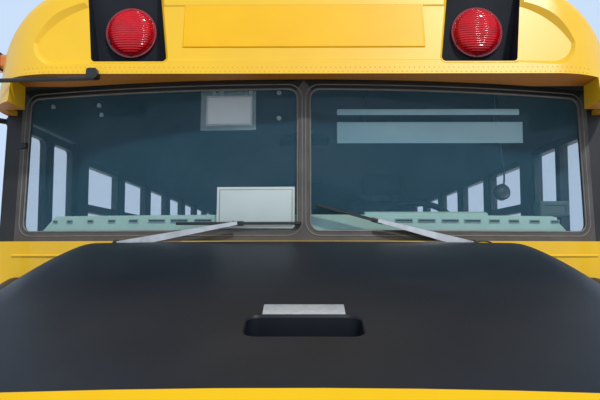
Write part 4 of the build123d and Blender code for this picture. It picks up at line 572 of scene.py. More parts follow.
pocketShape = {"middle": 0.648, "foot": 2.497, "slant": 0.14, "half": 0.1416, "low": 2.494, "high": 2.85,
               "depth": 0.0128, "innerWall": -0.12}


def inPocket(c, n):
    # the lamp pockets are black but for the wall nearer the middle
    across = abs(c.x) - pocketShape["middle"] - (c.z - pocketShape["foot"]) * pocketShape["slant"]
    level = pocketShape["low"] < c.z < pocketShape["high"]
    inside = abs(across) < pocketShape["half"] and level and c.y > capY(c.z) + pocketShape["depth"]
    return inside and not (across < pocketShape["innerWall"] and abs(n.x) > 0.7)


def inMirror(c, n):
    # the rear faces of the crossview mirrors, without their rods
    return n.y > 0.05 and (Vector((abs(c.x), c.y, c.z)) - Vector((1.08, -5.31, 1.60))).length < 0.16


# painted shade: the cap's inner faces get the near-black cabin shade, and the faces under its lip a deep orange-brown
# shade
finishNode("front_cap", bodyYellow, (innerPaintedShade, lambda c, n: n.y > 0.7), (pocketBlack, inPocket),
           (lipPaintedShade, lambda c, n: n.z < -0.5 and c.z < 2.46))
# painted shade: the cowl's inner faces get the near-black cabin shade
finishNode("cowl", bodyYellow, (innerPaintedShade, lambda c, n: n.y > 0.3))
finishNode("mirrors", trimBlack, (mirrorFace, lambda c, n: n.y > 0.9 and abs(c.x) > 1.3))
finishNode("crossview_mirrors", trimBlack, (mirrorFace, inMirror))
finishNode("headlamps", trimBlack, (clearLens, lambda c, n: math.hypot(abs(c.x) - 0.73, c.z - 1.06) < 0.09))
print("materials set")

# Cap: the blank sign panel, its rivet rows, and the dressing of the warning lamps

signSettings = {"size": (0.900, 0.004, 0.236), "height": 2.667, "lean": 13.0}
height = signSettings["height"]
panel = bevelPlate(signSettings["size"], 0.0012, rim=0.004, sink=0.0006,
                   at=spot((0, capY(height) + 0.0021, height), (-signSettings["lean"], 0, 0)))
settle(panel, "blankSignPanel", signYellow)

rivetSettings = {"radius": 0.0023, "pitch": 0.018, "rows": (2.4515, 2.469), "reach": 1.06, "straight": 0.92,
                 "bend": 0.3, "tilt": 77}
spots = []
steps = int(rivetSettings["reach"] / rivetSettings["pitch"])
for row, z in enumerate(rivetSettings["rows"]):
    for number in range(-steps, steps + 1):
        x = (number + 0.5 * row) * rivetSettings["pitch"]
        corner = max(0.0, abs(x) - rivetSettings["straight"])
        back = rivetSettings["bend"] - math.sqrt(rivetSettings["bend"] ** 2 - corner * corner)
        yaw = math.copysign(math.degrees(math.asin(corner / rivetSettings["bend"])), x)
        spots.append(spot((x, capY(z) + back, z), (rivetSettings["tilt"], 0, yaw)))
radius = rivetSettings["radius"]
rivet = turnRings(((radius, -0.0004), (radius * 0.85, 0.0007), (radius * 0.35, 0.0012)), 8)
settle(copyTo(rivet, spots), "capRivets", rivetYellow)

lensSettings = {"rings": ((0.0905, 0.0), (0.0905, 0.004), (0.0888, 0.0062), (0.0868, 0.0062), (0.0862, 0.010),
                          (0.0842, 0.0160), (0.0795, 0.0215), (0.0700, 0.0270), (0.0560, 0.0320), (0.0380, 0.0358),
                          (0.0180, 0.0378), (0.0030, 0.0382)),
                "front": ((0.668, -3.8845, 2.639),), "rearRed": ((0.56, 5.3165, 2.614), (0.90, 5.3165, 1.33)),
                "rearAmber": ((0.66, 5.3165, 1.33),)}


def lampSpots(places, turn):
    return [spot((side * x, y, z), turn) for x, y, z in places for side in (1, -1)]


forward, backward = (90, 0, 0), (-90, 0, 0)
redSpots = lampSpots(lensSettings["front"], forward) + lampSpots(lensSettings["rearRed"], backward)
amberSpots = lampSpots(lensSettings["rearAmber"], backward)
settle(copyTo(turnRings(lensSettings["rings"], 64), redSpots), "redLampLenses", ribbedRed, angle=50)
settle(copyTo(turnRings(lensSettings["rings"], 64), amberSpots), "amberLampLenses", ribbedAmber, angle=50)

notchSpots = []
for lamp in redSpots + amberSpots:
    for number in range(6):
        around = Matrix.Rotation(math.radians(30 + 60 * number), 4, "Z")
        notchSpots.append(lamp @ around @ Matrix.Translation((0.0875, 0, 0.0085)))
notch = turnRings(((0.0042, -0.004), (0.0042, 0.0012), (0.0030, 0.0022), (0.0012, 0.0016)), 10)
settle(copyTo(notch, notchSpots), "lensScrews", cardBlack)

markerSettings = {"place": (1.2205, -3.751, 2.557), "base": (0.006, 0.104, 0.072), "lens": (0.030, 0.088, 0.056)}
bases, covers = [], []
x, y, z = markerSettings["place"]
for side in (1, -1):
    bases.append(bevelPlate(markerSettings["base"], 0.0022, at=spot((side * x, y, z))))
    covers.append(bevelPlate(markerSettings["lens"], 0.0105, segments=4, at=spot((side * (x + 0.0165), y, z))))
settle(joinPieces(bases), "markerBases", trimBlack)
settle(joinPieces(covers), "markerCovers", ribbedAmber)
print("cap dressed")

# Windscreen: beads on the rubber, cards and holders behind the glass, the visor and the small things on the ledge

beadSettings = {"pane": (0.020, 1.125, 1.8685, 2.4226), "corner": 0.040, "lip": -0.0035, "mid": 0.0135}


def paneLoop(side, grow, forwardBy):
    # a rounded outline of one pane, on the curve of the screen
    xLow, xHigh, zLow, zHigh = beadSettings["pane"]
    xLow, xHigh, zLow, zHigh = xLow - grow, xHigh + grow, zLow - grow, zHigh + grow
    corner = max(0.008, beadSettings["corner"] + grow)
    flat = []
    for middle, start in (((xHigh - corner, zHigh - corner), 0), ((xLow + corner, zHigh - corner), 90),
                          ((xLow + corner, zLow + corner), 180), ((xHigh - corner, zLow + corner), 270)):
        for step in range(7):
            angle = math.radians(start + 15 * step)
            flat.append((middle[0] + corner * math.cos(angle), middle[1] + corner * math.sin(angle)))
        if start in (0, 180):
            span = (xHigh - xLow - 2 * corner) * (-1 if start == 0 else 1)
            flat += [(flat[-1][0] + span * step / 14, flat[-1][1]) for step in range(1, 14)]
    return [(side * x, screenY(x, z) + forwardBy, z) for x, z in flat]


lips = [runTube(paneLoop(side, beadSettings["lip"], 0.0060), 0.0042, closed=True) for side in (1, -1)]
settle(joinPieces(lips), "screenSealLips", sealBead, angle=60)
fillers = [runTube(paneLoop(side, beadSettings["mid"], 0.0004), 0.0026, closed=True) for side in (1, -1)]
settle(joinPieces(fillers), "screenSealFillers", sealBead, angle=60)


cardSettings = {"number": (-0.378, -0.1995, 2.281, 2.398), "sleeve": (-0.401, -0.184, 2.261, 2.418),
                "parking": (-0.330, -0.034, 1.8805, 2.040)}
cards = (("numberCardSleeve", "sleeve", 0.0, 0.0222, 0.0016, clearPlastic),
         ("numberCardEdge", "number", 0.0, 0.0208, 0.0010, cardWhite),
         ("numberCardLine", "number", 0.003, 0.0204, 0.0010, cardBlack),
         ("numberCardFace", "number", 0.0045, 0.0200, 0.0010, cardWhite),
         ("parkingCardEdge", "parking", 0.0, 0.0236, 0.0012, cardCream),
         ("parkingCardLine", "parking", 0.009, 0.0232, 0.0012, cardGold),
         ("parkingCardFace", "parking", 0.012, 0.0228, 0.0012, cardCream))
for name, card, edge, behind, thick, material in cards:
    # thin plates on the inner face of the screen, turned to lie along it
    xLow, xHigh, zLow, zHigh = cardSettings[card]
    x, z = (xLow + xHigh) / 2, (zLow + zHigh) / 2
    plate = bevelPlate((xHigh - xLow - 2 * edge, thick, zHigh - zLow - 2 * edge), 0.0004,
                       at=spot((x, screenY(x, z) + behind, z), (-screenShape["lean"], 0, screenTurn(x))))
    settle(plate, name, material)

cupPlaces = ((-1.025, 2.385), (-0.821, 2.378), (-0.808, 2.339), (-0.351, 2.410), (-0.0955, 2.407), (-0.0953, 2.306),
             (-0.318, 2.412), (-0.205, 2.410))
cup = turnRings(((0.0092, 0.0), (0.0088, 0.0016), (0.0046, 0.0034), (0.0040, 0.0080), (0.0062, 0.0092),
                 (0.0058, 0.0112), (0.0015, 0.0116)), 20)
cups = copyTo(cup, [spot((x, screenY(x, z) + 0.0176, z), (-90, 0, math.degrees(x / screenShape["radius"])))
                    for x, z in cupPlaces])
settle(cups, "suctionCups", cupPlastic)

visorSettings = {"plate": (0.136, 0.897, 2.238, 2.326), "strip": (0.136, 0.884, 2.355, 2.380), "y": -3.700}
xLow, xHigh, zLow, zHigh = visorSettings["plate"]
plate = bevelPlate((xHigh - xLow, 0.006, zHigh - zLow), 0.0026, rim=0.007, sink=0.0012,
                   at=spot(((xLow + xHigh) / 2, visorSettings["y"], (zLow + zHigh) / 2)))
xLow, xHigh, zLow, zHigh = visorSettings["strip"]
strip = bevelPlate((xHigh - xLow, 0.010, zHigh - zLow), 0.0040, segments=3,
                   at=spot(((xLow + xHigh) / 2, visorSettings["y"], (zLow + zHigh) / 2)))
settle(joinPieces([plate, strip]), "sunVisor", visorTeal)
hangers = [runTube(((x, -3.822, 2.480), (x, -3.760, 2.486), (x, -3.690, 2.470), (x, -3.6935, 2.300)), 0.0045,
                   smooth=True) for x in (0.25, 0.78)]
settle(joinPieces(hangers), "visorHangers", trimBlack, angle=60)

fanSettings = {"head": (0.806, -3.700, 2.036), "top": (0.780, -3.822, 2.475)}
x, y, z = fanSettings["head"]
head = turnRings(((0.030, -0.016), (0.033, -0.010), (0.033, 0.010), (0.029, 0.014), (0.024, 0.010), (0.010, 0.012),
                  (0.003, 0.014)), 32, at=spot((x, y, z), (80, 0, 12)))
stem = runTube((fanSettings["top"], (0.780, -3.74, 2.484), (0.800, -3.672, 2.466), (0.812, -3.676, 2.200),
                (0.826, -3.690, 2.085), (x, y, z)), 0.0036, smooth=True)
settle(joinPieces([head, stem]), "cabFan", trimBlack, angle=50)

ledgeSettings = {"slots": ((-0.991, 0.024), (-0.928, 0.028), (-0.839, 0.028), (-0.749, 0.034), (-0.660, 0.040),
                           (-0.566, 0.070), (-0.477, 0.070), (-0.384, 0.070), (0.380, 0.070), (0.469, 0.070),
                           (0.562, 0.070), (0.651, 0.070), (0.740, 0.046), (0.821, 0.046), (0.909, 0.046),
                           (0.998, 0.040)), "height": 1.9135, "face": 0.0455}
# painted shade: thin black plates in the slot frames stand for the dark inside of the slots
frames, slotShadePlates = [], []
for x, width in ledgeSettings["slots"]:
    y, z = screenShape["front"] + planDrop(x) + ledgeSettings["face"], ledgeSettings["height"]
    for group, size, off in ((frames, (width, 0.0050, 0.0155), 0.0),
                             (slotShadePlates, (width - 0.007, 0.0030, 0.0070), 0.0022)):
        group.append(bevelPlate(size, 0.0012, segments=1, at=spot((x, y - off, z), (0, 0, screenTurn(x)))))
settle(joinPieces(frames), "defrosterSlotFrames", slotFrame)
settle(joinPieces(slotShadePlates), "defrosterSlotShadePlates", cardBlack)

boxSettings = {"size": (0.118, 0.070, 0.062), "place": (1.000, -3.715, 1.9655)}
box = bevelPlate(boxSettings["size"], 0.006, rim=0.010, sink=0.003, segments=3, at=spot(boxSettings["place"]))
settle(box, "ledgeBox", boxGrey)

clipSettings = {"size": (0.036, 0.014, 0.024), "x": -1.141, "z": 2.224}
x, z = clipSettings["x"], clipSettings["z"]
clip = bevelPlate(clipSettings["size"], 0.0045, rim=0.005, sink=0.001, segments=3,
                  at=spot((x, screenY(x, z) - 0.004, z), (0, 0, screenTurn(x))))
settle(clip, "sealClip", gripPlastic)
beads = []
for side in (1, -1):
    line = [touchFront("cowl", side * (0.80 + 0.05 * step), 1.779) for step in range(8)]
    beads.append(runTube([tuple(found[0]) for found in line if found], 0.0050, sides=3, smooth=True))
settle(joinPieces(beads), "cowlBeads", bodyYellow, angle=60)
print("windscreen dressed")

# Wipers: tapered arms, blades in their clips, and the pivots with a washer hose

wiperSettings = ({"pivot": (-0.700, 1.818), "joint": (-0.245, 1.900), "slope": 0.0},
                 {"pivot": (0.627, 1.818), "joint": (0.272, 1.909), "slope": -15.2})
wiperReach = {"blade": 0.470, "wide": 0.032, "narrow": 0.013, "cowl": -3.955}


def ahead(x, z, off):
    # the wipers' own line, from the cowl out to the glass
    rise = max(0.0, z - screenShape["foot"])
    return wiperReach["cowl"] + planDrop(x) + rise * screenShape["slope"] - off


arms, blades, hinges = [], [], []
for wiper in wiperSettings:
    (px, pz), (jx, jz) = wiper["pivot"], wiper["joint"]
    length = math.hypot(jx - px, jz - pz)
    angle = math.degrees(math.atan2(jz - pz, jx - px))
    arm = bevelPlate((length, 0.009, 1.0), 0.0020)
    pickFaces(arm, lambda c, n: True)
    bpy.ops.mesh.bisect(plane_co=(0, 0, 0), plane_no=(1, 0, 0))
    for part in range(1, 10):
        bpy.ops.mesh.select_all(action="SELECT")
        bpy.ops.mesh.bisect(plane_co=(length * (part / 10 - 0.5), 0, 0), plane_no=(1, 0, 0))
    bpy.ops.object.mode_set(mode="OBJECT")
    for vertex in arm.data.vertices:
        along = vertex.co.x / length + 0.5
        wide = wiperReach["wide"] * (1 - along) + wiperReach["narrow"] * along
        vertex.co.z *= wide
        vertex.co.y *= 1.0 - 0.35 * along
    arm.matrix_world = spot(((px + jx) / 2, 0, (pz + jz) / 2), (0, -angle, 0))
    arms.append(joinPieces([arm]))
    for vertex in arms[-1].data.vertices:
        vertex.co.y += ahead(vertex.co.x, vertex.co.z, 0.012)
    blade = bevelPlate((wiperReach["blade"], 0.012, 0.011), 0.0022)
    pickFaces(blade, lambda c, n: n.y < -0.9)
    bpy.ops.mesh.inset(thickness=0.003, depth=0.004)
    for part in range(1, 16):
        bpy.ops.mesh.select_all(action="SELECT")
        bpy.ops.mesh.bisect(plane_co=(wiperReach["blade"] * (part / 16 - 0.5), 0, 0), plane_no=(1, 0, 0))
    bpy.ops.object.mode_set(mode="OBJECT")
    rubber = bevelPlate((wiperReach["blade"] - 0.006, 0.006, 0.005), 0.0015, at=spot((0, 0.007, 0)))
    clip = bevelPlate((0.046, 0.016, 0.017), 0.0030, rim=0.004, sink=0.001, at=spot((0, -0.003, 0)))
    blade = joinPieces([blade, rubber, clip])
    blade.matrix_world = spot((jx, 0, jz), (0, -wiper["slope"], 0))
    blade = joinPieces([blade])
    for vertex in blade.data.vertices:
        vertex.co.y += screenY(vertex.co.x, vertex.co.z) - 0.008
    blades.append(blade)
    hinges.append(turnRings(((0.022, 0.0), (0.022, 0.010), (0.019, 0.016), (0.012, 0.017), (0.012, 0.024),
                             (0.008, 0.027), (0.002, 0.027)), 24, at=spot(
        (px, wiperReach["cowl"] + planDrop(px) + 0.001, pz), (90, 0, math.degrees(px / screenShape["radius"])))))
arms = settle(joinPieces(arms), "wiperArms", wiperMetal)
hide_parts("wipers")
settle(joinPieces(blades), "wiperBlades", trimBlack)
settle(joinPieces(hinges), "wiperPivots", trimBlack, angle=50)
px, pz = wiperSettings[1]["pivot"]
hose = runTube(((px + 0.012, ahead(px, pz, 0.006), pz + 0.012), (px + 0.035, ahead(px, pz, 0.010), pz + 0.019),
                (px + 0.078, ahead(px, pz, 0.006), pz + 0.010), (px + 0.088, ahead(px + 0.09, pz, 0.004), pz - 0.012),
                (px + 0.060, ahead(px, pz, 0.0), pz - 0.022)), 0.0026, smooth=True)
settle(hose, "washerHose", gripPlastic, angle=60)
print("wipers made")

# Bonnet: the pale strip above the hand hold

stripSettings = {"far": -4.8475, "near": -4.9085, "half": 0.0895, "thick": 0.0014, "height": 1.6707,
                 "slope": 14.3, "stretch": 1.033}
middle = (stripSettings["far"] + stripSettings["near"]) / 2
length = (stripSettings["far"] - stripSettings["near"]) * stripSettings["stretch"]
strip = bevelPlate((2 * stripSettings["half"], length, stripSettings["thick"]), 0.0004,
                   at=spot((0, middle, stripSettings["height"]), (stripSettings["slope"], 0, 0)))
settle(strip, "bonnetStrip", paleSticker, body="bonnet")


# Seats: cushions and backs blown up as cloth, with their piping

padSettings = {"benchX": (0.205, 1.165), "firstRow": -2.300, "pitch": 0.711, "rows": 11, "tray": 1.3803,
               "pressure": 4.0, "frames": 20}


def reshape(pad, kind, **settings):
    pickOnly(pad)
    applyPlace()
    modifier = pad.modifiers.new("reshape", kind)
    for name, value in settings.items():
        setattr(modifier, name, value)
    bpy.ops.object.modifier_apply(modifier="reshape")
    return pad


def puffPad(pad, voxel, limit):
    # remeshes a pad and lets cloth pressure round it, no point moving further than the limit
    reshape(pad, "REMESH", mode="VOXEL", voxel_size=voxel)
    before = [vertex.co.copy() for vertex in pad.data.vertices]
    cloth = pad.modifiers.new("cloth", "CLOTH")
    cloth.settings.use_pressure = True
    cloth.settings.uniform_pressure_force = padSettings["pressure"]
    cloth.settings.effector_weights.gravity = 0
    cloth.point_cache.frame_end = padSettings["frames"]
    for frame in range(1, padSettings["frames"] + 1):
        bpy.context.scene.frame_set(frame)
    bpy.ops.object.modifier_apply(modifier="cloth")
    bpy.context.scene.frame_set(1)
    for vertex, old in zip(pad.data.vertices, before):
        move = vertex.co - old
        if move.length > limit:
            vertex.co = old + move * (limit / move.length)
    return pad


def slabPad(low, high, lean=0.0, soft=0.022):
    # a soft-edged slab between two corners, its top moved back by lean
    size = [b - a for a, b in zip(low, high)]
    pad = bevelPlate(size, soft, segments=3, at=spot([(a + b) / 2 for a, b in zip(low, high)]))
    applyPlace()
    for vertex in pad.data.vertices:
        vertex.co.y += lean * (vertex.co.z - low[2]) / (high[2] - low[2])
    return pad


xLow, xHigh = padSettings["benchX"]
tray = padSettings["tray"]
cushion = puffPad(slabPad((xLow + 0.012, -0.200, tray + 0.002), (xHigh - 0.012, 0.176, tray + 0.090)), 0.016, 0.011)
for vertex in cushion.data.vertices:
    vertex.co.z = max(vertex.co.z, tray + 0.0005)
back = puffPad(slabPad((xLow + 0.012, 0.208, tray + 0.012), (xHigh - 0.012, 0.266, tray + 0.600), 0.010),
               0.018, 0.010)
cushion, back = reshape(cushion, "DECIMATE", ratio=0.32), reshape(back, "DECIMATE", ratio=0.30)
rowSpots = []
for number in range(padSettings["rows"]):
    y = padSettings["firstRow"] + padSettings["pitch"] * number
    rowSpots += [spot((0, y, 0)), spot((-xLow - xHigh, y, 0))]
cushions = settle(copyTo(cushion, rowSpots), "benchCushions", seatVinyl, angle=60)
backs = settle(copyTo(back, rowSpots), "benchBacks", seatVinyl, angle=60)
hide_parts("bench_seats")
pipes = []
for y, z, lean in ((-0.196, tray + 0.088, 0), (0.213, tray + 0.600, 1), (0.276, tray + 0.600, 1)):
    low = tray + 0.010 if lean else tray + 0.006
    pipes.append(runTube(((xLow + 0.016, y, low + 0.02), (xLow + 0.016, y, z - 0.02), (xLow + 0.036, y, z),
                           (xHigh - 0.036, y, z), (xHigh - 0.016, y, z - 0.02), (xHigh - 0.016, y, low + 0.02),
                           (xHigh - 0.036, y, low), (xLow + 0.036, y, low)), 0.0040, closed=True))
settle(copyTo(joinPieces(pipes), rowSpots), "benchPiping", gripPlastic, angle=60, slotName="seat_cover")

driverSettings = {"x": 0.440, "y": -2.960, "tray": 1.3903}
x, y, tray = driverSettings["x"], driverSettings["y"], driverSettings["tray"]
seat = puffPad(slabPad((x - 0.230, y - 0.240, tray + 0.002), (x + 0.230, y + 0.180, tray + 0.098)), 0.008, 0.011)
for vertex in seat.data.vertices:
    vertex.co.z = max(vertex.co.z, tray + 0.0005)
rest = puffPad(slabPad((x - 0.180, y + 0.206, tray + 0.020), (x + 0.180, y + 0.286, tray + 0.700), 0.022),
               0.009, 0.014)
head = puffPad(slabPad((x - 0.120, y + 0.232, tray + 0.722), (x + 0.120, y + 0.300, tray + 0.836), 0.004),
               0.007, 0.010)
for pad, name in ((seat, "driverCushion"), (rest, "driverBackrest"), (head, "driverHeadrest")):
    settle(reshape(pad, "SUBSURF", levels=1), name, driverCloth, angle=60)
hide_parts("driver_seat")
posts = [runTube(((x + off, y + 0.262, tray + 0.640), (x + off, y + 0.266, tray + 0.780)), 0.006)
         for off in (-0.06, 0.06)]
settle(joinPieces(posts), "headrestPosts", trimBlack, angle=60)
print("seats made")

# Cabin: ceiling lamps, the rail by the steps and a pull rail behind the driver

cabinSettings = {"lampRows": (-2.2, 0.2, 2.4, 4.4), "railRadius": 0.014, "railsAt": (-2.780, -2.560)}
ceilings = [touch("roof", (0.0, y, 2.2), (0, 0, 1)) for y in cabinSettings["lampRows"]]
domeLamps = [spot(found[0] + Vector((0, 0, 0.004)), (180, 0, 0)) for found in ceilings if found]
dome = turnRings(((0.090, 0.0), (0.090, 0.008), (0.084, 0.012), (0.078, 0.012), (0.070, 0.026), (0.045, 0.034),
                  (0.003, 0.036)), 32)
settle(copyTo(dome, domeLamps), "ceilingLamps", clearLens, angle=50)
floorTop = touch("floor", (-0.60, -2.75, 1.9), (0, 0, -1))[0].z
railLines = (((-0.640, floorTop - 0.002), (-0.640, 1.830), (-0.700, 1.880), (-1.060, 1.880), (-1.164, 1.880)),
             ((0.190, floorTop - 0.002), (0.190, 1.850), (0.250, 1.900), (1.050, 1.900), (1.164, 1.900)))
rails = [runTube([(x, y, z) for x, z in line], cabinSettings["railRadius"], sides=3)
         for y, line in zip(cabinSettings["railsAt"], railLines)]
settle(joinPieces(rails), "cabinRails", chromeRing, angle=60)
print("cabin dressed")

# Tyres: a grooved carcass with blocks round the tread, in place of the plain ones

tyreSettings = {"radius": 0.520, "bead": 0.2868, "groove": 0.011, "blocks": 54}
bead, groove, blocks = tyreSettings["bead"], tyreSettings["groove"], tyreSettings["blocks"]
base = tyreSettings["radius"] - groove
outer = ((bead, -0.110), (bead + 0.016, -0.1135), (bead + 0.024, -0.1215), (bead + 0.030, -0.1205),
         (bead + 0.058, -0.1330), (bead + 0.080, -0.1370), (bead + 0.084, -0.1352), (bead + 0.110, -0.1395),
         (bead + 0.140, -0.1378), (bead + 0.144, -0.1362), (bead + 0.172, -0.1325), (bead + 0.196, -0.1270),
         (base - 0.004, -0.1200), (base, -0.1130))
inner = tuple((radius, -height) for radius, height in reversed(outer))
lining = ((bead + 0.030, 0.1000), (bead + 0.120, 0.1180), (base - 0.030, 0.1000), (base - 0.030, -0.1000),
          (bead + 0.120, -0.1180), (bead + 0.030, -0.1000), (bead, -0.110))
carcass = turnRings(outer + inner + lining, 72, filled=False)
blockSpots, shoulderSpots = [], []
for number in range(blocks):
    for across, shift in ((-0.044, 0.5), (0.0, 0.0), (0.044, 0.5)):
        turn = Matrix.Rotation(2 * math.pi * (number + shift) / blocks, 4, "Z")
        blockSpots.append(turn @ Matrix.Translation((base, 0, across)))
    for side in (1, -1):
        turn = Matrix.Rotation(2 * math.pi * (number + 0.25 * side) / blocks, 4, "Z")
        shoulderSpots.append(turn @ Matrix.Translation((base - 0.0015, 0, side * 0.0925)))
block = bevelPlate((2 * groove - 0.001, 0.047, 0.035), 0.0018, segments=1)
shoulder = bevelPlate((2 * groove + 0.001, 0.048, 0.043), 0.0045, segments=1)
tyre = joinPieces([carcass, copyTo(block, blockSpots), copyTo(shoulder, shoulderSpots)])
wheelPlaces = {"front_left_road_wheel": ("front_left_tyre", "front", 1, (1.030,)),
               "front_right_road_wheel": ("front_right_tyre", "front", -1, (-1.030,)),
               "rear_left_road_wheels": ("rear_left_tyres", "rear", 1, (1.055, 0.725)),
               "rear_right_road_wheels": ("rear_right_tyres", "rear", -1, (-1.055, -0.725))}
for body, (node, axle, _, places) in wheelPlaces.items():
    twin = tyre.copy()
    twin.data = tyre.data.copy()
    bpy.context.collection.objects.link(twin)
    rubber = copyTo(twin, [spot((x, axles[axle], axles["height"]), (0, 90, 0)) for x in places])
    settle(rubber, node.replace("_tyre", "_tread"), tyreRubber, body=body, angle=30)
    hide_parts(node)
bpy.data.objects.remove(tyre)

# Wheels: hub caps with their bolts

hubSettings = {"cap": ((0.0760, 0.0), (0.0760, 0.006), (0.0735, 0.009), (0.0640, 0.010), (0.0620, 0.013),
                       (0.0605, 0.034), (0.0570, 0.040), (0.0420, 0.0425), (0.0400, 0.0390), (0.0120, 0.0390),
                       (0.0100, 0.0430), (0.0030, 0.0440)),
               "bolt": ((0.0075, -0.001), (0.0075, 0.0050), (0.0060, 0.0064), (0.0015, 0.0064)), "boltRing": 0.0690,
               "bolts": 8, "front": (1.1335, 1.0), "rear": (1.0030, 0.82)}
for body, (_, axle, side, _) in wheelPlaces.items():
    face, grow = hubSettings[axle]
    hub = spot((side * face, axles[axle], axles["height"]), (0, 90 * side, 0), (grow, grow, 1.0))
    around = [hub @ Matrix.Rotation(2 * math.pi * number / hubSettings["bolts"], 4, "Z")
              @ Matrix.Translation((hubSettings["boltRing"], 0, 0.0085)) for number in range(hubSettings["bolts"])]
    settle(copyTo(turnRings(hubSettings["cap"], 48), [hub]), body + "_hubCap", dullSteel, body=body, angle=40)
    settle(copyTo(turnRings(hubSettings["bolt"], 6), around), body + "_hubBolts", dullSteel, body=body)
print("wheels dressed")

# Sides: rail bolts, riveted seams, drip rails, lamps, hatches, arch lips and mud flaps

sideSettings = {"rails": (0.620, 0.980, 1.330, 1.640), "firstPost": -2.8805, "pitch": 0.711, "posts": 12,
                "row": (75, -3.650, 0.1185), "column": (14, 0.680, 0.072), "pair": 0.014, "eaves": 2.342,
                "railFace": 1.23, "skin": 1.215, "clear": 0.034,
                "rivet": ((0.0055, -0.0008), (0.0055, 0.0008), (0.0040, 0.0024), (0.0016, 0.0030)),
                "bolt": ((0.0095, -0.001), (0.0095, 0.0012), (0.0075, 0.0040), (0.0030, 0.0052))}
posts = [sideSettings["firstPost"] + sideSettings["pitch"] * number for number in range(sideSettings["posts"])]
boltSpots, rivetSpots = [], []
for side, wall in walls:
    count, first, pitch = sideSettings["row"]
    for number in range(count):
        y = first + pitch * number
        if number % 2 == 0:
            for z in sideSettings["rails"]:
                found = touchSide("rub_rails", side, y, z)
                if found and abs(found[0].x) > sideSettings["railFace"]:
                    boltSpots.append(facing(*found))
        found = touchSide(wall, side, y, sideSettings["eaves"])
        if found and abs(found[0].x) > sideSettings["skin"]:
            rivetSpots.append(facing(*found))
    count, first, pitch = sideSettings["column"]
    for y in posts:
        for step in range(count):
            z = first + pitch * step
            if min(abs(z - rail) for rail in sideSettings["rails"]) < sideSettings["clear"]:
                continue
            for shift in (-sideSettings["pair"], sideSettings["pair"]):
                found = touchSide(wall, side, y + shift, z)
                if found and abs(found[0].x) > sideSettings["skin"]:
                    rivetSpots.append(facing(*found))
settle(copyTo(turnRings(sideSettings["bolt"], 10), boltSpots), "railBolts", trimBlack)
settle(copyTo(turnRings(sideSettings["rivet"], 8), rivetSpots), "sideRivets", bodyYellow)

dripSettings = {"size": (0.016, 8.840, 0.020), "place": (1.2265, 0.810, 2.388)}
drips = []
x, y, z = dripSettings["place"]
for side in (1, -1):
    drip = bevelPlate(dripSettings["size"], 0.0045, segments=3, at=spot((side * x, y, z)))
    pickFaces(drip, lambda c, n: n.z > 0.99)
    bpy.ops.mesh.inset(thickness=0.002, depth=0)
    bpy.ops.mesh.inset(thickness=0.001, depth=-0.004)
    bpy.ops.object.mode_set(mode="OBJECT")
    drips.append(drip)
settle(joinPieces(drips), "dripRails", bodyYellow)


def smallLamps(name, material, finds):
    # oval lamps on black bases, standing on whatever the finds met
    lens = bevelPlate((0.098, 0.040, 0.030), 0.0125, segments=4)
    base = bevelPlate((0.114, 0.056, 0.012), 0.0035)
    settle(copyTo(lens, standOn(finds, 0.010)), name + "Lenses", material, angle=50)
    settle(copyTo(base, standOn(finds, 0.002)), name + "Bases", trimBlack)


smallLamps("capMarker", ribbedAmber, [touchFront("front_cap", x, 2.925) for x in (-0.66, -0.18, 0.0, 0.18, 0.66)])
smallLamps("rearMarker", ribbedRed, [touchRear("rear_wall", x, 2.945) for x in (-0.62, -0.18, 0.0, 0.18, 0.62)])
smallLamps("sideMarker", ribbedAmber, [touchSide(wall, side, 0.675, 1.485) for side, wall in walls])
reflector = ((0.038, -0.001), (0.038, 0.005), (0.034, 0.0075), (0.031, 0.0055), (0.016, 0.0070), (0.003, 0.0074))
ambers = [touchSide(wall, side, -3.63 if side > 0 else -2.80, 1.155) for side, wall in walls]
reds = [touchSide(wall, side, 5.10, 1.155) for side, wall in walls]
reds += [touchRear("rear_wall", x, 1.08) for x in (-1.02, 1.02)]
settle(copyTo(turnRings(reflector, 28), standOn(ambers)), "amberReflectors", ribbedAmber)
settle(copyTo(turnRings(reflector, 28), standOn(reds)), "redReflectors", ribbedRed)

hatchSettings = {"fuel": (-1.2205, -1.500, 0.800, 0.260, 0.240), "battery": (1.2205, -1.750, 0.800, 0.620, 0.250),
                 "tool": (1.2205, 3.600, 0.800, 0.900, 0.250)}
latchRings = ((0.022, 0.0), (0.022, 0.003), (0.019, 0.005), (0.010, 0.005), (0.009, 0.002), (0.002, 0.002))
doors, knobs, seams = [], [], []
for x, y, z, long, high in hatchSettings.values():
    side = 1 if x > 0 else -1
    doors.append(bevelPlate((long, 0.006, high), 0.0022, rim=0.012, sink=0.0015,
                            at=spot((x + side * 0.0018, y, z), (0, 0, 90 * side))))
    for middle in (y - 0.32 * long, y + 0.32 * long):
        seams.append(runTube([(x + side * 0.006, middle + off, z + high / 2) for off in (-0.030, 0.030)], 0.0060))
    knobs.append(turnRings(latchRings, 24, at=spot((x + side * 0.0040, y, z - high / 2 + 0.045), (0, 90 * side, 0))))
settle(joinPieces(doors), "sideHatches", bodyYellow)
settle(joinPieces(seams), "sideHatchHinges", bodyYellow)
settle(joinPieces(knobs), "sideHatchLatches", chromeRing, angle=40)


def archLip(node, side, y, x, first, last):
    # the rubber lip round a wheel arch, found from the axle outwards
    line, hub = [], Vector((side * (x - 0.012), y, axles["height"]))
    for angle in range(first, last + 1, 6):
        out = Vector((0, math.cos(math.radians(angle)), math.sin(math.radians(angle))))
        found = touch(node, hub + out * 0.30, out)
        if found and (found[0] - hub).length < 0.90:
            line.append((side * (x - 0.004), found[0].y, found[0].z))
    return runTube(line, 0.0085, sides=3)


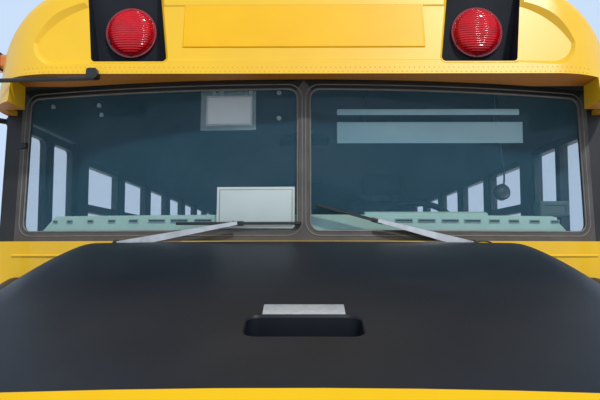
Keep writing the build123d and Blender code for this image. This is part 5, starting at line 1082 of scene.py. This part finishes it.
settle(joinPieces([archLip(wall, side, axles["rear"], 1.220, 6, 174) for side, wall in walls]),
       "rearArchLips", sealRubber, angle=60)
settle(joinPieces([archLip("hood", side, axles["front"], 1.208, 14, 166) for side in (1, -1)]),
       "frontArchLips", sealRubber, body="bonnet", angle=60)

flapSettings = {"size": (0.500, 0.010, 0.400), "place": (0.890, 2.690, 0.420),
                "bar": ((0.470, 0.610), (0.640, 0.612), (1.165, 0.612)), "barRadius": 0.014}
flaps, bars = [], []
x, y, z = flapSettings["place"]
for side in (1, -1):
    flaps.append(bevelPlate(flapSettings["size"], 0.0030, rim=0.020, sink=0.002, at=spot((side * x, y, z))))
    bars.append(runTube([(side * along, y, up) for along, up in flapSettings["bar"]], flapSettings["barRadius"],
                        sides=3))
settle(joinPieces(flaps), "mudFlaps", tyreRubber)
settle(joinPieces(bars), "mudFlapBars", chassisBlack, angle=60)
print("sides dressed")

# Roof: seams over the bows with their rivets

roofSettings = {"hatchSpan": (0.25, 1.15), "reach": 70, "step": 4, "foot": 2.41, "rivetOff": 0.024,
                "hatch": (0.520, 0.520, 0.010)}
seams, rivetSpots = [], []
for y in posts:
    if roofSettings["hatchSpan"][0] < y < roofSettings["hatchSpan"][1]:
        continue
    line = []
    for angle in range(-roofSettings["reach"], roofSettings["reach"] + 1, roofSettings["step"]):
        out = Vector((math.sin(math.radians(angle)), 0, math.cos(math.radians(angle))))
        found = touch("roof", Vector((0, y, 2.0)) + out * 3, -out)
        if found and found[0].z > roofSettings["foot"]:
            line.append(tuple(found[0]))
            beside = Vector((0, y + roofSettings["rivetOff"], 2.0))
            rivetSpots.append(facing(*touch("roof", beside + out * 3, -out)))
    seams.append(runTube(line, 0.0055, sides=2))
settle(joinPieces(seams), "roofSeams", bodyYellow, angle=60)
settle(copyTo(turnRings(sideSettings["rivet"], 8), rivetSpots), "roofRivets", bodyYellow)

lid = bevelPlate(roofSettings["hatch"], 0.0040, segments=3)
pickFaces(lid, lambda c, n: n.z > 0.99)
bpy.ops.mesh.inset(thickness=0.030, depth=0)
bpy.ops.mesh.inset(thickness=0.006, depth=-0.003)
bpy.ops.mesh.inset(thickness=0.150, depth=0)
bpy.ops.mesh.inset(thickness=0.006, depth=0.003)
bpy.ops.object.mode_set(mode="OBJECT")
low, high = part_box("roof_hatch")
lid.location = (0, (low[1] + high[1]) / 2, high[2] + 0.003)
settle(lid, "hatchPanel", bodyYellow, body="roof_exit")
print("roof dressed")

# Front: headlamp rings and lenses, turn lamps, bumper bolts and bonnet latches

frontSettings = {"lamp": (0.730, 1.060), "turn": (0.888, 1.060), "turnSize": (0.104, 0.026, 0.140),
                 "ring": ((0.0800, 0.0), (0.0960, 0.0), (0.0965, 0.005), (0.0920, 0.011), (0.0860, 0.0120),
                          (0.0815, 0.008), (0.0800, 0.0)),
                 "lens": ((0.0805, 0.0), (0.0800, 0.004), (0.0700, 0.0085), (0.0500, 0.0125), (0.0250, 0.0150),
                          (0.0030, 0.0156))}
rings, lenses, turns = [], [], []
for side in (1, -1):
    x, z = frontSettings["lamp"]
    place = touchFront("headlamps", side * x, z)[0]
    rings.append(turnRings(frontSettings["ring"], 48, filled=False, at=spot((place.x, place.y + 0.001, z), forward)))
    lenses.append(turnRings(frontSettings["lens"], 48, at=spot((place.x, place.y + 0.0005, z), forward)))
    x, z = frontSettings["turn"]
    place = touchFront("headlamps", side * x, z)[0]
    turns.append(bevelPlate(frontSettings["turnSize"], 0.0080, rim=0.008, sink=0.002, segments=3,
                            at=spot((side * x, place.y - 0.006, z))))
settle(joinPieces(rings), "headlampRings", chromeRing, body="bonnet", angle=40)
settle(joinPieces(lenses), "headlampLenses", ribbedClear, body="bonnet", angle=50)
settle(joinPieces(turns), "turnLamps", ribbedAmber, body="bonnet")

bumperFinds = [touchFront("front_bumper", x, z) for x in (-0.47, -0.36, 0.36, 0.47) for z in (0.57, 0.65)]
bumperFinds += [touchRear("rear_bumper", x, z) for x in (-1.05, -0.47, -0.36, 0.36, 0.47, 1.05) for z in (0.58, 0.66)]
head = turnRings(((0.0165, -0.002), (0.0165, 0.003), (0.0130, 0.0070), (0.0070, 0.0095), (0.0020, 0.0100)), 20)
settle(copyTo(head, standOn(bumperFinds)), "bumperBolts", dullSteel, angle=50)

screen = bevelPlate((0.860, 0.006, 0.500), 0.0015, rim=0.014, sink=0.002, at=spot((0, -5.2120, 1.125)))
settle(screen, "grilleScreen", coreMetal, body="bonnet")

latchSettings = {"places": ((-3.905, 1.350), (-3.905, 1.050)), "strap": (0.120, 0.034, 0.012),
                 "hook": (0.030, 0.046, 0.020), "hookOff": -0.038}
straps, hooks = [], []
for side in (1, -1):
    for y, z in latchSettings["places"]:
        place, normal = touchSide("hood", side, y, z)
        straps.append(bevelPlate(latchSettings["strap"], 0.0040, at=facing(place, normal, 0.005)))
        hooks.append(bevelPlate(latchSettings["hook"], 0.0050,
                                at=facing(place, normal, 0.008) @ spot((latchSettings["hookOff"], 0, 0))))
settle(joinPieces(straps), "bonnetLatchStraps", gripPlastic, body="bonnet")
settle(joinPieces(hooks), "bonnetLatchHooks", dullSteel, body="bonnet")
print("front dressed")

# Rear: blank sign and number plate with its lamp

rearSettings = {"sign": (0.800, 0.005, 0.190), "signHeight": 2.600, "plate": (0.305, 0.003, 0.152),
                "plateAt": (-0.640, 0.880), "holder": (0.325, 0.008, 0.172), "lampHood": (0.090, 0.034, 0.026)}
rear = touchRear("rear_wall", 0.5, 2.55)[0].y
sign = bevelPlate(rearSettings["sign"], 0.0012, rim=0.004, sink=0.0006,
                  at=spot((0, rear + 0.0022, rearSettings["signHeight"]), (0, 0, 180)))
settle(sign, "blankRearSign", signYellow)
x, z = rearSettings["plateAt"]
holder = bevelPlate(rearSettings["holder"], 0.0025, rim=0.006, sink=0.002,
                    at=spot((x, rear + 0.0032, z), (0, 0, 180)))
hood = bevelPlate(rearSettings["lampHood"], 0.0080, segments=3, at=spot((x, rear + 0.0150, z + 0.098)))
settle(joinPieces([holder, hood]), "numberPlateHolder", trimBlack)
plate = bevelPlate(rearSettings["plate"], 0.0010, rim=0.006, sink=-0.0008,
                   at=spot((x, rear + 0.0080, z), (0, 0, 180)))
settle(plate, "blankNumberPlate", signWhite)
print("rear dressed")

# Stop arm: white border and its two lamps, on the outer side of the blade

stopSettings = {"centre": (-2.648, 1.485), "face": 1.2568, "outer": 0.2370, "inner": 0.2180, "lampOff": 0.140}
y, z = stopSettings["centre"]
inner, outer = stopSettings["inner"], stopSettings["outer"]
border = turnRings(((inner, -0.0004), (outer, -0.0004), (outer, 0.0010), (inner, 0.0010), (inner, -0.0004)), 8,
                   filled=False, at=spot((stopSettings["face"], y, z), (0, 90, 0)) @ spot((0, 0, 0), (0, 0, 22.5)))
settle(border, "stopBorder", signWhite, body="stop_blade", angle=20, slotName="stop_red")
dome = ((0.046, -0.001), (0.046, 0.004), (0.043, 0.007), (0.041, 0.007), (0.038, 0.014), (0.028, 0.019),
        (0.012, 0.022), (0.003, 0.0222))
domes = copyTo(turnRings(dome, 32), [spot((stopSettings["face"], y, z + shift * stopSettings["lampOff"]), (0, 90, 0))
                                     for shift in (-1, 1)])
settle(domes, "stopLamps", ribbedRed, body="stop_blade", angle=50)
print("stop arm dressed")

# Floor, light and camera

floorSettings = {"size": 120.0, "colour": (0.72, 0.72, 0.71)}
bpy.ops.mesh.primitive_plane_add(size=floorSettings["size"], location=(0, 0, -0.002))
ground = bpy.context.object
ground.name = "studioFloor"
groundMaterial, tree, shader, place = newMaterial("studioFloorPaint")
tone = addNoise(tree, place, 1.5, 3.0)
tree.links.new(addRamp(tree, tone, ((0.3, floorSettings["colour"]), (0.7, (0.70, 0.70, 0.69)))),
               shader.inputs["Base Color"])
setInputs(shader, {"Roughness": 0.8})
ground.data.materials.append(groundMaterial)

lightSettings = {"skyStrength": 0.62, "skyColour": (0.84, 0.91, 1.0), "seenColour": (0.60, 0.75, 0.96),
                 "sunStrength": 2.1, "sunAngle": 4.0, "sunTilt": 42, "sunYaw": 28}
world = bpy.data.worlds.new("studioWorld")
bpy.context.scene.world = world
world.use_nodes = True
tree = world.node_tree
background = tree.nodes["Background"]
setInputs(background, {"Color": (*lightSettings["skyColour"], 1.0), "Strength": lightSettings["skyStrength"]})
seen = tree.nodes.new("ShaderNodeBackground")
setInputs(seen, {"Color": (*lightSettings["seenColour"], 1.0)})
rays = tree.nodes.new("ShaderNodeLightPath")
direct = addMath(tree, "ADD", addMath(tree, "ADD", rays.outputs["Is Camera Ray"], rays.outputs["Is Glossy Ray"]),
                 rays.outputs["Is Transmission Ray"])
either = tree.nodes.new("ShaderNodeMixShader")
tree.links.new(direct, either.inputs[0])
tree.links.new(background.outputs[0], either.inputs[1])
tree.links.new(seen.outputs[0], either.inputs[2])
tree.links.new(either.outputs[0], tree.nodes["World Output"].inputs["Surface"])
bpy.ops.object.light_add(type="SUN", rotation=(math.radians(lightSettings["sunTilt"]), 0,
                                               math.radians(lightSettings["sunYaw"])))
sun = bpy.context.object
sun.data.energy = lightSettings["sunStrength"]
sun.data.angle = math.radians(lightSettings["sunAngle"])

cameraSettings = {"place": (0.0, -6.300, 1.80), "pitch": 4.5, "yaw": 0.35, "lens": 38.4}
bpy.ops.object.camera_add(
    location=cameraSettings["place"],
    rotation=(math.radians(90 + cameraSettings["pitch"]), 0, math.radians(cameraSettings["yaw"])),
)
camera = bpy.context.object
camera.data.lens = cameraSettings["lens"]
camera.data.sensor_width = 36.0
camera.data.clip_start = 0.02
bpy.context.scene.camera = camera
bpy.context.scene.view_settings.view_transform = "Standard"
print("stage set")
